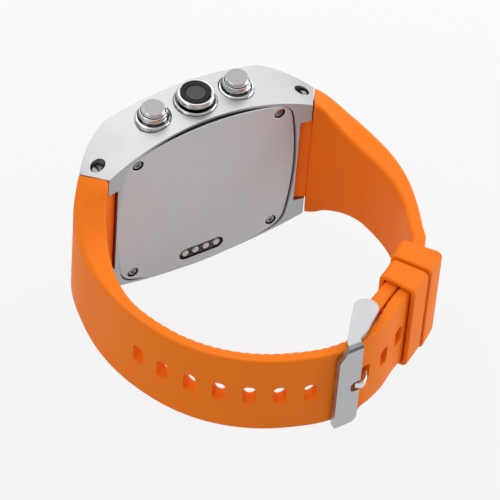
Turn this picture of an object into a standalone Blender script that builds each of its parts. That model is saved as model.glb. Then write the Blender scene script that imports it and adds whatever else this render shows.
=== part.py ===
"""A wrist watch with a camera in its side, on a buckled silicone strap.

The watch lies in its own frame: the origin is the middle of the case back's outer
face, +Y points away from the wrist, +X runs along the case towards the buckle's strap,
and +Z points out of the side that carries the camera and the two pushers.
Lengths are millimetres until new_object turns them into metres.
"""

import math

import bmesh
import bpy
from mathutils import Matrix, Vector

MM = 0.001
GAP = 0.3                        # room left between pieces that rest on each other

# Case: barrel shaped in plan, curved at the front, hollow, open at the back.
CASE_HALF_WIDTH = 22.4           # at the middle, up to the curved side
CASE_SIDE_RADIUS = 57.5
CASE_HALF_LENGTH = 28.3
CASE_BACK_Y = 0.85               # back edge at the middle of a side
CASE_FRONT_Y = 12.6
CASE_SHOULDER_X = 18.5           # where the flat front starts to fall to the strap
CASE_SHOULDER_BULGE = 0.95
CASE_WALL = 1.9
LUG_BACK_X, LUG_BACK_Y = 24.5, -1.05
LUG_FRONT_Y = 5.0

# Lugs: a notch between two blocks takes the strap's tongue and its pin.
LUG_PIN_X, LUG_PIN_Y = 24.6, 3.9
LUG_NOTCH_HALF = 12.15
LUG_HOLE_R = 1.6
TONGUE_R = 2.3
TONGUE_SHY = 0.5                 # how far its back lies below the lugs' back
TONGUE_OVERLAP = 0.6             # how far it runs on into the strap
PIN_SHAFT_R = 0.9
PIN_HEAD_R = 1.3
PIN_HEAD_LENGTH = 2.2
PIN_RECESS = 1.1                 # from the case's side down to the pin's head
SLOT_WIDTH, SLOT_DEPTH = 0.5, 0.6

# Case back, its gasket and screws.
BACK_HALF_LENGTH = 21.5
BACK_MARGIN = 0.9                # from the case's side to the case back's edge
BACK_END_RADIUS = 85.0
BACK_CORNER_R = 5.0
BACK_THICK = 1.4
GASKET_IN, GASKET_WIDTH, GASKET_THICK = 0.15, 0.5, 0.45
SCREW_X, SCREW_Z = BACK_HALF_LENGTH - 4.43, CASE_HALF_WIDTH - 5.72
SCREW_HEAD_R, SCREW_HEAD_THICK = 1.0, 0.4
SCREW_SHANK_R, SCREW_DEPTH = 0.6, 4.6
SCREW_RECESS_R, SCREW_RECESS_DEPTH = 1.3, 0.95
SCREW_SUNK = 0.25

# Charging contacts.
CONTACT_X, CONTACT_Z = -0.3, 5.2 - CASE_HALF_WIDTH
CONTACT_PITCH = 2.54
CONTACT_COUNT = 4
CONTACT_R = 0.85
CONTACT_GAP = 0.2
BLOCK_HALF_WIDTH = 1.3
BLOCK_TOP_Y, BLOCK_BOTTOM_Y = 0.15, 2.9
CONTACT_FLOOR_Y = 2.2

# Inside of the case.
CAVITY_HALF_LENGTH = 20.0
CAVITY_CORNER_R = 16.0
CAVITY_FRONT_Y = 10.5
BATTERY = ((-13.0, 13.0), (4.5,), (-12.5, 12.5))
BOARD_HALF_LENGTH, BOARD_HALF_WIDTH, BOARD_THICK = 18.6, 13.8, 1.0
DISPLAY_HALF = (13.2, 15.2)
DISPLAY_THICK = 2.2
SPEAKER_X, SPEAKER_HALF_Z, SPEAKER_THICK = (13.7, 19.2), 5.0, 3.6
MOTOR_X, MOTOR_R, MOTOR_THICK = -16.4, 2.7, 2.8
ANTENNA_HALF_X, ANTENNA_Z = 6.0, (-11.5, -6.5)

# Front: a trim ring round the cover glass.
BEZEL_HALF_LENGTH = 17.6
BEZEL_MARGIN = 1.3
BEZEL_WIDTH = 1.4
BEZEL_PROUD = 0.5
BEZEL_DEPTH = 0.7                # below the case's front
FRONT_CORNER_R = 3.5
FRONT_END_RADIUS = 180.0
GLASS_THICK = 1.0
LEDGE_WIDTH = 1.6

# Camera in the middle of the +Z side.
CAMERA_Y = 6.8
CAMERA_FLANGE_R, CAMERA_RING_R = 4.65, 4.05
CAMERA_TOP_Z = CASE_HALF_WIDTH + 2.5
CAMERA_LENS_R, CAMERA_LENS_THICK = 3.27, 0.7
CAMERA_BARREL_R = 2.3
CAMERA_BODY_HALF_X, CAMERA_BODY_HALF_Y, CAMERA_BODY_DEPTH = 4.0, 2.1, 5.6
FLANGE_SUNK = 0.5                # how deep the flanges stand in the case
FLANGE_PROUD = 0.5

# Pushers either side of it.
BUTTON_X, BUTTON_Y = 10.03, 7.0
BUTTON_TOP_Z = CASE_HALF_WIDTH + 2.4
BUTTON_CAP_R, BUTTON_CAP_THICK = 2.62, 1.25
BUTTON_NECK_R = 2.2
BUTTON_STEM_R = 1.0
BUTTON_TRAVEL = 0.5
COLLAR_FLANGE_R, COLLAR_TUBE_R = 3.82, 2.95
CLIP_R, CLIP_THICK = 1.7, 0.4
SWITCH_HALF_X, SWITCH_HALF_Y = 1.8, 1.5

# Strap. Its outer face leaves the case at this angle below the X axis.
STRAP_START_ANGLE = 54.0
STRAP_HALF_WIDTH = 10.7
FLARE_OUTER, FLARE_INNER = 4.3, 6.2  # extra half width where it meets the case
FLARE_LENGTH = 18.0
ROOT_THICK_TO, TAPER_END = 10.0, 38.0
LONG_THICK, SHORT_THICK = 2.7, 3.0
STRAP_EDGE = 0.45
SKEW_LENGTH = 12.0
LONG_WAYPOINTS = [(-32.6, -0.6), (-35.2, -6.6), (-36.6, -13.5), (-36.8, -20.5),
                  (-35.9, -27.8), (-33.7, -35.2), (-30.0, -42.5), (-24.6, -48.9),
                  (-17.6, -54.0), (-9.3, -57.5), (-2.8, -58.95), (4.2, -58.6),
                  (10.6, -56.35)]
SHORT_WAYPOINTS = [(31.0, -36.6), (33.3, -30.6), (35.1, -24.2), (36.0, -18.0),
                   (36.1, -12.5), (34.9, -6.2), (32.4, -0.4)]

# Clasp: the two straps lie on one arc here, so that a keeper can slide round it.
CLASP_X, CLASP_Y = -13.3, 7.2
CLASP_R = 66.9                   # outer face of the long strap
CLASP_START, CLASP_END = 26.5, 41.8
TAIL_END = 38.4
TAIL_TAPER, TAIL_HALF_WIDTH = 6.0, 6.5
HOLE_PITCH = 6.35
HOLE_HALF_LENGTH, HOLE_HALF_WIDTH, HOLE_CORNER = 1.35, 2.5, 0.8
TIP_TO_TANG_HOLE = 27.1
HOLES_TO_TAIL, HOLES_TO_CASE = 3, 8
KEEPER_WALL, KEEPER_GAP = 1.1, 0.25
KEEPER_FIXED = (28.5, 33.8)
KEEPER_SLIDING = (34.1, 39.0)

# Buckle, hung on a spring bar in the end of the short strap.
BAR_PIN_R = CLASP_R - LONG_THICK - 1.2  # from the clasp's centre
BAR_PIN_ANGLE = 19.5
LOOP_R = 1.75
SPRING_BAR_R, SPRING_TIP_R = 0.75, 0.45
TANG_SLOT_HALF = 2.2
BUCKLE_THICK = 1.3
BUCKLE_HALF_WIDTH = STRAP_HALF_WIDTH + 1.75
BUCKLE_EAR_R = 2.65
BUCKLE_NECK = 1.6
BAR_HALF_LENGTH = 2.7
BAR_FROM_TANG_HOLE = 5.7
BAR_NOTCH_HALF, BAR_NOTCH_DEPTH = 2.15, 2.4
BAR_CORNER = 2.2
TANG_HALF_WIDTH, TANG_THICK = 1.75, 0.9
TANG_RING_R = 1.5
TANG_SHY = 0.3                   # how far from the hole's middle, towards the case

STEPS = 20                       # segments in a full turn of a small round piece
EXACT_LEAVES_GAPS = {"mid_case"}  # its many near-parallel faces need the other solver


def new_material(name, colour, roughness, metallic=0.0, alpha=1.0):
    material = bpy.data.materials.new(name)
    material.use_nodes = True
    shader = material.node_tree.nodes["Principled BSDF"]
    shader.inputs["Base Color"].default_value = (*colour, 1.0)
    shader.inputs["Roughness"].default_value = roughness
    shader.inputs["Metallic"].default_value = metallic
    shader.inputs["Alpha"].default_value = alpha
    return material


def new_object(name, bm, material=None, origin=(0.0, 0.0, 0.0)):
    """Turn a mesh in millimetres into an object in metres, its origin at origin."""
    origin = Vector(origin)
    bmesh.ops.translate(bm, verts=bm.verts, vec=-origin)
    bmesh.ops.scale(bm, verts=bm.verts, vec=(MM, MM, MM))
    bmesh.ops.recalc_face_normals(bm, faces=bm.faces)
    mesh = bpy.data.meshes.new(name)
    bm.to_mesh(mesh)
    bm.free()
    mesh.shade_smooth()
    mesh.set_sharp_from_angle(angle=math.radians(35))
    obj = bpy.data.objects.new(name, mesh)
    obj.location = origin * MM
    bpy.context.scene.collection.objects.link(obj)
    if material is None:
        obj.hide_render = True
        obj.display_type = "WIRE"
    else:
        mesh.materials.append(material)
    return obj


def combine(obj, bm, operation="DIFFERENCE"):
    """Cut obj with the mesh bm, or join them into one body."""
    tool = new_object(f"{obj.name}_tool_{len(obj.modifiers)}", bm)
    modifier = obj.modifiers.new(tool.name, "BOOLEAN")
    modifier.operation = operation
    modifier.solver = "MANIFOLD" if obj.name in EXACT_LEAVES_GAPS else "EXACT"
    modifier.object = tool


def prism(outline, low, high, axis):
    """Extrude an outline of (x, z) along Y, or of (x, y) along Z."""
    bm = bmesh.new()
    place = {"Y": lambda a, b: (a, low, b), "Z": lambda a, b: (a, b, low)}[axis]
    face = bm.faces.new([bm.verts.new(place(a, b)) for a, b in outline])
    top = bmesh.ops.extrude_face_region(bm, geom=[face])["geom"]
    shift = Vector((0, high - low, 0)) if axis == "Y" else Vector((0, 0, high - low))
    bmesh.ops.translate(bm, verts=[v for v in top if isinstance(v, bmesh.types.BMVert)], vec=shift)
    return bm


def box(x, y, z):
    """A block between the given (low, high) pairs."""
    outline = [(x[0], z[0]), (x[1], z[0]), (x[1], z[1]), (x[0], z[1])]
    return prism(outline, y[0], y[1], "Y")


def turned(profile, centre, axis="Z", steps=STEPS):
    """Turn a profile of (radius, height) about an axis through centre."""
    bm = bmesh.new()
    verts = [bm.verts.new((r, 0, h)) for r, h in profile]
    edges = [bm.edges.new(pair) for pair in zip(verts, verts[1:])]
    if profile[0][0] > 0:
        edges.append(bm.edges.new((verts[-1], verts[0])))
    bmesh.ops.spin(bm, geom=verts + edges, cent=(0, 0, 0), axis=(0, 0, 1),
                   angle=math.tau, steps=steps, use_merge=True)
    bmesh.ops.remove_doubles(bm, verts=bm.verts, dist=1e-4)
    if axis == "Y":
        bmesh.ops.rotate(bm, verts=bm.verts, matrix=Matrix.Rotation(math.radians(-90), 3, "X"))
    bmesh.ops.translate(bm, verts=bm.verts, vec=centre)
    return bm


def rod(radius, low, high, centre, axis="Z", steps=STEPS):
    """A plain round bar between two heights, its axis through centre."""
    ring = arc((centre[0], centre[2] if axis == "Y" else centre[1]), radius, 0, 360, steps)[:-1]
    return prism(ring, low, high, axis)


def tube(inner, outer, low, high, centre, axis="Z", steps=STEPS):
    profile = [(inner, low), (outer, low), (outer, high), (inner, high)]
    return turned(profile, centre, axis, steps)


def loft(rings):
    """Skin a row of rings that have the same number of points, and close its ends."""
    bm = bmesh.new()
    rows = [[bm.verts.new(p) for p in ring] for ring in rings]
    for row, following in zip(rows, rows[1:]):
        for i in range(len(row)):
            j = (i + 1) % len(row)
            bm.faces.new((row[i], row[j], following[j], following[i]))
    bm.faces.new(rows[0])
    bm.faces.new(rows[-1])
    return bm


def arc(centre, radius, start, end, count):
    """Points on an arc, its angles in degrees from the first axis to the second."""
    angles = [math.radians(start + (end - start) * i / count) for i in range(count + 1)]
    return [(centre[0] + radius * math.cos(a), centre[1] + radius * math.sin(a)) for a in angles]


def barrel(half_length, half_width, side_radius, end_radius, corner_radius, grow=0.0):
    """Outline (x, z) with bulging sides and ends and round corners, grown by grow."""
    side = (0.0, half_width - side_radius)
    end = (half_length - end_radius, 0.0)
    reach_side, reach_end = side_radius - corner_radius, end_radius - corner_radius
    away = math.dist(side, end)
    along = (reach_side ** 2 - reach_end ** 2 + away ** 2) / (2 * away)
    across = math.sqrt(reach_side ** 2 - along ** 2)
    step = ((end[0] - side[0]) / away, (end[1] - side[1]) / away)
    corner = (side[0] + along * step[0] + across * step[1],
              side[1] + along * step[1] - across * step[0])
    turn = math.degrees(math.atan2(corner[1] - side[1], corner[0] - side[0]))
    tilt = math.degrees(math.atan2(corner[1] - end[1], corner[0] - end[0]))
    quarter = arc(side, side_radius + grow, 90, turn, 5)[:-1]
    quarter += arc(corner, corner_radius + grow, turn, tilt, 4)
    quarter += arc(end, end_radius + grow, tilt, 0, 3)[1:]
    half = quarter + [(x, -z) for x, z in reversed(quarter[:-1])]
    return half + [(-x, z) for x, z in reversed(half[1:-1])]


def case_side(x):
    """How far the case's curved side lies from the middle plane at x."""
    return CASE_HALF_WIDTH - CASE_SIDE_RADIUS + math.sqrt(CASE_SIDE_RADIUS ** 2 - x * x)


def smooth_step(value):
    value = min(max(value, 0.0), 1.0)
    return value * value * (3 - 2 * value)


def clasp_point(radius, angle):
    """A point on the clasp's arc, its angle counted in degrees from the -Y axis."""
    turn = math.radians(angle)
    return Vector((CLASP_X + radius * math.sin(turn), CLASP_Y - radius * math.cos(turn)))


def smooth_curve(points, first_direction, last_direction, pieces=12):
    """A cubic curve through the points, leaving and arriving along the directions."""
    points = [Vector(p) for p in points]
    directions = [(b - a).normalized() for a, b in zip(points, points[2:])]
    directions = [first_direction, *directions, last_direction]
    result = []
    for i, (a, b) in enumerate(zip(points, points[1:])):
        reach = (b - a).length
        for k in range(pieces):
            t = k / pieces
            result.append((2 * t ** 3 - 3 * t ** 2 + 1) * a + (3 * t ** 2 - 2 * t ** 3) * b
                          + (t ** 3 - 2 * t ** 2 + t) * reach * directions[i]
                          + (t ** 3 - t ** 2) * reach * directions[i + 1])
    return result + [points[-1]]


class Path:
    """A run of points that is read by the distance along it."""

    def __init__(self, points):
        self.points = points
        self.marks = [0.0]
        for a, b in zip(points, points[1:]):
            self.marks.append(self.marks[-1] + (b - a).length)
        self.length = self.marks[-1]

    def at(self, distance):
        for i, (low, high) in enumerate(zip(self.marks, self.marks[1:])):
            if distance <= high:
                share = (distance - low) / (high - low)
                return self.points[i].lerp(self.points[i + 1], share)
        return self.points[-1]

    def along(self, distance, reach=0.4):
        low, high = max(distance - reach, 0.0), min(distance + reach, self.length)
        return (self.at(high) - self.at(low)).normalized()


def lug_geometry(side):
    """Corners of the face between case and strap, moved GAP off the case."""
    back, front = Vector((LUG_BACK_X, LUG_BACK_Y)), Vector((CASE_HALF_LENGTH, LUG_FRONT_Y))
    face = (front - back).normalized()
    off = Vector((face.y, -face.x)) * GAP
    return [Vector((side * p.x, p.y)) for p in (back + off, front + off)]


def strap_ring(outer, inner, half_outer, half_inner):
    """A strap section between its outer and inner point, with its edges taken off."""
    down = (inner - outer).normalized() * STRAP_EDGE
    near, far = outer + down, inner - down
    rows = [(outer, half_outer - STRAP_EDGE), (near, half_outer),
            (far, half_inner), (inner, half_inner - STRAP_EDGE)]
    ring = [(p.x, p.y, half) for p, half in rows]
    return ring + [(p.x, p.y, -half) for p, half in reversed(rows)]


def strap_root(path, side, thick, stations):
    """Rings from the case to where the strap has its plain section."""
    start_back, start_front = lug_geometry(side)
    normal = path_normal(path, 0.0, side)
    root_thick = (start_front - start_back).dot(normal)
    skew = (start_back - (start_front - normal * root_thick)).dot(path.along(0.0))
    rings = []
    for distance in stations:
        taper = smooth_step((distance - ROOT_THICK_TO) / (TAPER_END - ROOT_THICK_TO))
        deep = root_thick + (thick - root_thick) * taper
        lean = skew * max(1 - distance / SKEW_LENGTH, 0.0) ** 2
        flare = max(1 - distance / FLARE_LENGTH, 0.0) ** 2
        outer = path.at(distance)
        inner = outer - path_normal(path, distance, side) * deep
        inner = inner + path.along(distance) * lean
        rings.append(strap_ring(outer, inner, STRAP_HALF_WIDTH + FLARE_OUTER * flare,
                                STRAP_HALF_WIDTH + FLARE_INNER * flare))
    return rings


def path_normal(path, distance, side):
    """Outward normal of a strap path; side is +1 where it runs clockwise round."""
    way = path.along(distance)
    return Vector((-way.y, way.x)) * side


def long_path():
    """Outer face of the long strap, from the case to its tail."""
    turn = math.radians(STRAP_START_ANGLE)
    arc_way = math.radians(CLASP_START)
    start = lug_geometry(-1)[1]
    points = [start, *LONG_WAYPOINTS, clasp_point(CLASP_R, CLASP_START)]
    points = smooth_curve(points, Vector((-math.cos(turn), -math.sin(turn))),
                          Vector((math.cos(arc_way), math.sin(arc_way))))
    steps = 24
    for i in range(1, steps + 1):
        points.append(clasp_point(CLASP_R, CLASP_START + (TAIL_END - CLASP_START) * i / steps))
    return Path(points)


def short_outer_radius():
    return CLASP_R - LONG_THICK - KEEPER_GAP


def short_path():
    """Outer face of the short strap, from the case to the start of the clasp's arc."""
    turn = math.radians(STRAP_START_ANGLE)
    arc_way = math.radians(CLASP_END)
    points = [clasp_point(short_outer_radius(), CLASP_END), *SHORT_WAYPOINTS, lug_geometry(1)[1]]
    points = smooth_curve(points, Vector((math.cos(arc_way), math.sin(arc_way))),
                          Vector((-math.cos(turn), math.sin(turn))))
    return Path(list(reversed(points)))


def tongue(side):
    """The strap's narrow end in the lug notch, round over its pin."""
    face_back, face_front = lug_geometry(side)
    reach = (face_front - face_back).normalized()
    into = Vector((side * abs(reach.y), -abs(reach.x))) * TONGUE_OVERLAP
    pin = Vector((side * LUG_PIN_X, LUG_PIN_Y))
    turn = math.degrees(math.atan2(reach.y, reach.x))
    nose = arc(pin, TONGUE_R, turn, 180 if side > 0 else 0, 10)
    heel = [(nose[-1][0], LUG_BACK_Y + TONGUE_SHY), (face_back.x, LUG_BACK_Y + TONGUE_SHY)]
    low = face_back + reach * TONGUE_SHY * 2 + into
    high = pin + reach * TONGUE_R
    high = high + into * ((face_back - high).dot(into) / into.length_squared + 1)
    outline = [*nose, *heel, tuple(low), tuple(high)]
    return prism(outline, -LUG_NOTCH_HALF + GAP, LUG_NOTCH_HALF - GAP, "Z")


def hole_cutter(path, distance, side, half_length, half_width, corner, deep):
    """A rounded rectangular cutter through the strap at a distance along its path."""
    at = path.at(distance)
    way = path.along(distance)
    normal = path_normal(path, distance, side)
    outline = []
    for i, (a, b) in enumerate([(1, 1), (-1, 1), (-1, -1), (1, -1)]):
        centre = (a * (half_length - corner), b * (half_width - corner))
        outline += arc(centre, corner, 90 * i, 90 * i + 90, 3)
    bm = prism(outline, -deep, deep, "Y")
    frame = Matrix(((way.x, normal.x, 0), (way.y, normal.y, 0), (0, 0, 1)))
    bmesh.ops.rotate(bm, verts=bm.verts, matrix=frame)
    bmesh.ops.translate(bm, verts=bm.verts, vec=(at.x, at.y, 0))
    return bm


def build_mid_case(material):
    """The hollow metal case, with lugs, pockets and the bores in its side."""
    slope = Vector((CASE_HALF_LENGTH - CASE_SHOULDER_X, LUG_FRONT_Y - CASE_FRONT_Y))
    bulge_way = Vector((-slope.y, slope.x)).normalized()
    chord, steps = slope.length, 7
    radius = chord * chord / (8 * CASE_SHOULDER_BULGE) + CASE_SHOULDER_BULGE / 2
    back_drop = CASE_BACK_Y - LUG_BACK_Y

    stations = []
    for i in range(7):
        x = CASE_SHOULDER_X * i / 7
        stations.append((x, CASE_FRONT_Y))
    for i in range(steps + 1):
        share = i / steps
        rise = math.sqrt(radius ** 2 - (chord * (share - 0.5)) ** 2) - radius + CASE_SHOULDER_BULGE
        at = Vector((CASE_SHOULDER_X, CASE_FRONT_Y)) + slope * share + bulge_way * rise
        stations.append((at.x, at.y))
    stations.append((LUG_BACK_X, None))
    flat = sorted((s for s in stations if s[1] is not None))

    def front(x):
        for (xa, ya), (xb, yb) in zip(flat, flat[1:]):
            if x <= xb:
                return ya + (yb - ya) * (x - xa) / (xb - xa)
        return flat[-1][1]

    def back(x):
        if x <= LUG_BACK_X:
            return CASE_BACK_Y - back_drop * (x / LUG_BACK_X) ** 2
        share = (x - LUG_BACK_X) / (CASE_HALF_LENGTH - LUG_BACK_X)
        return LUG_BACK_Y + (LUG_FRONT_Y - 0.08 - LUG_BACK_Y) * share

    xs = sorted(x for x, _ in stations)
    rings = []
    for x in [-v for v in reversed(xs[1:])] + xs:
        half, low, high = case_side(x), back(abs(x)), front(abs(x))
        rings.append([(x, low, -half), (x, high, -half), (x, high, half), (x, low, half)])
    case = new_object("mid_case", loft(rings), material)

    ledge = BACK_THICK + GAP
    combine(case, prism(back_outline(GAP), -4, ledge, "Y"))
    combine(case, prism(cavity_outline(), ledge - 0.5, CAVITY_FRONT_Y, "Y"))
    groove = prism(cavity_outline(GASKET_IN + GASKET_WIDTH + GAP), ledge - 0.4,
                   ledge + GASKET_THICK + GAP, "Y")
    combine(case, groove)
    floor = CASE_FRONT_Y - BEZEL_DEPTH - GAP
    combine(case, prism(front_outline(GAP), floor, CASE_FRONT_Y + 2, "Y"))
    combine(case, prism(front_outline(-BEZEL_WIDTH - GAP - LEDGE_WIDTH), CAVITY_FRONT_Y - 1,
                        floor + 0.5, "Y"))
    for side in (-1, 1):
        combine(case, notch_cutter(side))
        pin = (side * LUG_PIN_X, LUG_PIN_Y, 0)
        combine(case, rod(LUG_HOLE_R, -CASE_HALF_WIDTH, CASE_HALF_WIDTH, pin))
        for up in (-1, 1):
            hole = rod(SCREW_SHANK_R + GAP, 0, SCREW_DEPTH + GAP,
                       (side * SCREW_X, 0, up * SCREW_Z), "Y", 12)
            combine(case, hole)
        wall = case_side(BUTTON_X)
        at = (side * BUTTON_X, BUTTON_Y, 0)
        combine(case, rod(BUTTON_STEM_R + GAP, wall - 2 * CASE_WALL, wall + 1, at))
        combine(case, rod(COLLAR_FLANGE_R + GAP, wall - FLANGE_SUNK - GAP, wall + 3, at))
        room = CLIP_R + 3 * GAP
        combine(case, box((at[0] - room, at[0] + room), (BUTTON_Y - room, BUTTON_Y + room),
                          (BOARD_HALF_WIDTH, wall - CASE_WALL)))
    wall = CASE_HALF_WIDTH
    at = (0, CAMERA_Y, 0)
    combine(case, rod(CAMERA_BARREL_R + GAP, wall - 2 * CASE_WALL, wall + 1, at))
    combine(case, rod(CAMERA_FLANGE_R + GAP, wall - FLANGE_SUNK - GAP, wall + 3, at))
    return case


def back_outline(grow=0.0):
    return barrel(BACK_HALF_LENGTH, CASE_HALF_WIDTH - BACK_MARGIN, CASE_SIDE_RADIUS - BACK_MARGIN,
                  BACK_END_RADIUS, BACK_CORNER_R, grow)


def cavity_outline(grow=0.0):
    return barrel(CAVITY_HALF_LENGTH, CASE_HALF_WIDTH - CASE_WALL, CASE_SIDE_RADIUS - CASE_WALL,
                  BACK_END_RADIUS, CAVITY_CORNER_R, grow)


def front_outline(grow=0.0):
    return barrel(BEZEL_HALF_LENGTH, CASE_HALF_WIDTH - BEZEL_MARGIN,
                  CASE_SIDE_RADIUS - BEZEL_MARGIN, FRONT_END_RADIUS, FRONT_CORNER_R, grow)


def notch_cutter(side):
    """Room for the strap's tongue, open to the wrist side and to the case's end."""
    face_back, face_front = lug_geometry(side)
    reach = (face_front - face_back).normalized()
    out = Vector((side * abs(reach.y), -abs(reach.x)))
    pin = Vector((side * LUG_PIN_X, LUG_PIN_Y))
    turn = math.degrees(math.atan2(reach.y, reach.x))
    ceiling = arc(pin, TONGUE_R + GAP, turn, 180 if side > 0 else 0, 10)
    mouth = Vector(ceiling[0]) + out * 9
    outline = [*ceiling, (ceiling[-1][0], -4.0), (side * (CASE_HALF_LENGTH + 6), -4.0), tuple(mouth)]
    return prism(outline, -LUG_NOTCH_HALF, LUG_NOTCH_HALF, "Z")


def build_back(steel, rubber, black, gold):
    """Case back, gasket, screws and charging contacts."""
    back = new_object("case_back", prism(back_outline(), 0, BACK_THICK, "Y"), steel)
    count = 0
    for x in (-SCREW_X, SCREW_X):
        for z in (-SCREW_Z, SCREW_Z):
            count += 1
            at = (x, 0, z)
            combine(back, rod(SCREW_RECESS_R, -1, SCREW_RECESS_DEPTH, at, "Y"))
            combine(back, rod(SCREW_SHANK_R + GAP, 0, BACK_THICK + 1, at, "Y", 12))
            head = SCREW_SUNK + SCREW_HEAD_THICK
            profile = [(0, SCREW_SUNK), (SCREW_HEAD_R, SCREW_SUNK), (SCREW_HEAD_R, head),
                       (SCREW_SHANK_R, head), (SCREW_SHANK_R, SCREW_DEPTH), (0, SCREW_DEPTH)]
            screw = new_object(f"back_screw_{count}", turned(profile, at, "Y", 16), steel)
            slot = 0.2
            for across in ((slot, SCREW_HEAD_R + 0.2), (SCREW_HEAD_R + 0.2, slot)):
                combine(screw, box((x - across[0], x + across[0]), (-1, SCREW_SUNK + 0.2),
                                   (z - across[1], z + across[1])))
    gasket = prism(cavity_outline(GASKET_IN + GASKET_WIDTH), BACK_THICK + GAP,
                   BACK_THICK + GAP + GASKET_THICK, "Y")
    gasket = new_object("case_back_gasket", gasket, rubber)
    combine(gasket, prism(cavity_outline(GASKET_IN), 0, 2 * SCREW_DEPTH, "Y"))
    span = CONTACT_PITCH * (CONTACT_COUNT - 1)
    combine(back, stadium(span, BLOCK_HALF_WIDTH + GAP, -1, BACK_THICK + 1))
    block = new_object("contact_block",
                       stadium(span, BLOCK_HALF_WIDTH, BLOCK_TOP_Y, BLOCK_BOTTOM_Y), black)
    for i in range(CONTACT_COUNT):
        at = (CONTACT_X + CONTACT_PITCH * i - span / 2, 0, CONTACT_Z)
        combine(block, rod(CONTACT_R + CONTACT_GAP, -1, CONTACT_FLOOR_Y, at, "Y", 16))
        pin = rod(CONTACT_R, 0.0, CONTACT_FLOOR_Y - GAP, at, "Y", 16)
        new_object(f"contact_pin_{i + 1}", pin, gold)


def stadium(span, half_width, low, high):
    """A block with round ends along the row of charging contacts."""
    right = arc((CONTACT_X + span / 2, CONTACT_Z), half_width, -90, 90, 8)
    left = arc((CONTACT_X - span / 2, CONTACT_Z), half_width, 90, 270, 8)
    return prism(right + left, low, high, "Y")


def build_front(chrome, glass, black):
    """Trim ring, cover glass and display."""
    top = CASE_FRONT_Y + BEZEL_PROUD
    bezel = prism(front_outline(), CASE_FRONT_Y - BEZEL_DEPTH, top, "Y")
    bezel = new_object("front_bezel", bezel, chrome)
    combine(bezel, prism(front_outline(-BEZEL_WIDTH), 0, 2 * top, "Y"))
    glass_low = CASE_FRONT_Y - BEZEL_DEPTH
    pane = prism(front_outline(-BEZEL_WIDTH - GAP), glass_low, glass_low + GLASS_THICK, "Y")
    new_object("cover_glass", pane, glass)
    high = glass_low - GAP
    half_x, half_z = DISPLAY_HALF
    panel = box((-half_x, half_x), (high - DISPLAY_THICK, high), (-half_z, half_z))
    new_object("display_panel", panel, black)
    return high - DISPLAY_THICK


def build_inside(display_back, green, grey, dark, ceramic, metal):
    """Battery, board, speaker, vibration motor and antenna patch."""
    low = BACK_THICK + GAP
    (x, (deep,), z) = BATTERY
    new_object("battery", box(x, (low, low + deep), z), grey)
    board_low = low + deep + GAP
    outline = barrel(BOARD_HALF_LENGTH, BOARD_HALF_WIDTH, CASE_SIDE_RADIUS, BACK_END_RADIUS, 5.0)
    new_object("main_board", prism(outline, board_low, board_low + BOARD_THICK, "Y"), green)
    box_y = (low, low + SPEAKER_THICK)
    new_object("speaker", box(SPEAKER_X, box_y, (-SPEAKER_HALF_Z, SPEAKER_HALF_Z)), dark)
    motor = rod(MOTOR_R, low, low + MOTOR_THICK, (MOTOR_X, 0, 0), "Y")
    new_object("vibration_motor", motor, metal)
    patch_low = board_low + BOARD_THICK + GAP
    patch = box((-ANTENNA_HALF_X, ANTENNA_HALF_X), (patch_low, display_back - GAP), ANTENNA_Z)
    new_object("gps_antenna", patch, ceramic)


def build_camera(chrome, black, dark):
    """Stepped ring, lens window and camera module, all on one axis along Z."""
    at = (0, CAMERA_Y, 0)
    low = CASE_HALF_WIDTH - FLANGE_SUNK
    flange_top = CASE_HALF_WIDTH + FLANGE_PROUD
    seat = CAMERA_TOP_Z - CAMERA_LENS_THICK - GAP
    bore = CAMERA_BARREL_R + GAP
    profile = [(bore, low), (CAMERA_FLANGE_R, low), (CAMERA_FLANGE_R, flange_top),
               (CAMERA_RING_R - 0.4, flange_top + 0.1), (CAMERA_RING_R - 0.4, flange_top + 0.5),
               (CAMERA_RING_R, flange_top + 0.7), (CAMERA_RING_R, CAMERA_TOP_Z - 0.2),
               (CAMERA_RING_R - 0.2, CAMERA_TOP_Z), (CAMERA_LENS_R + GAP, CAMERA_TOP_Z),
               (CAMERA_LENS_R + GAP, seat), (bore, seat)]
    new_object("camera_ring", turned(profile, at, steps=24), chrome)
    lens = rod(CAMERA_LENS_R, seat + GAP, CAMERA_TOP_Z, at, steps=24)
    new_object("camera_lens", lens, black)
    inner = CASE_HALF_WIDTH - CASE_WALL - GAP
    module = box((-CAMERA_BODY_HALF_X, CAMERA_BODY_HALF_X),
                 (CAMERA_Y - CAMERA_BODY_HALF_Y, CAMERA_Y + CAMERA_BODY_HALF_Y),
                 (inner - CAMERA_BODY_DEPTH, inner - 0.3))
    module = new_object("camera_module", module, dark)
    combine(module, rod(CAMERA_BARREL_R, inner - 2, seat, at), "UNION")


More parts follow.
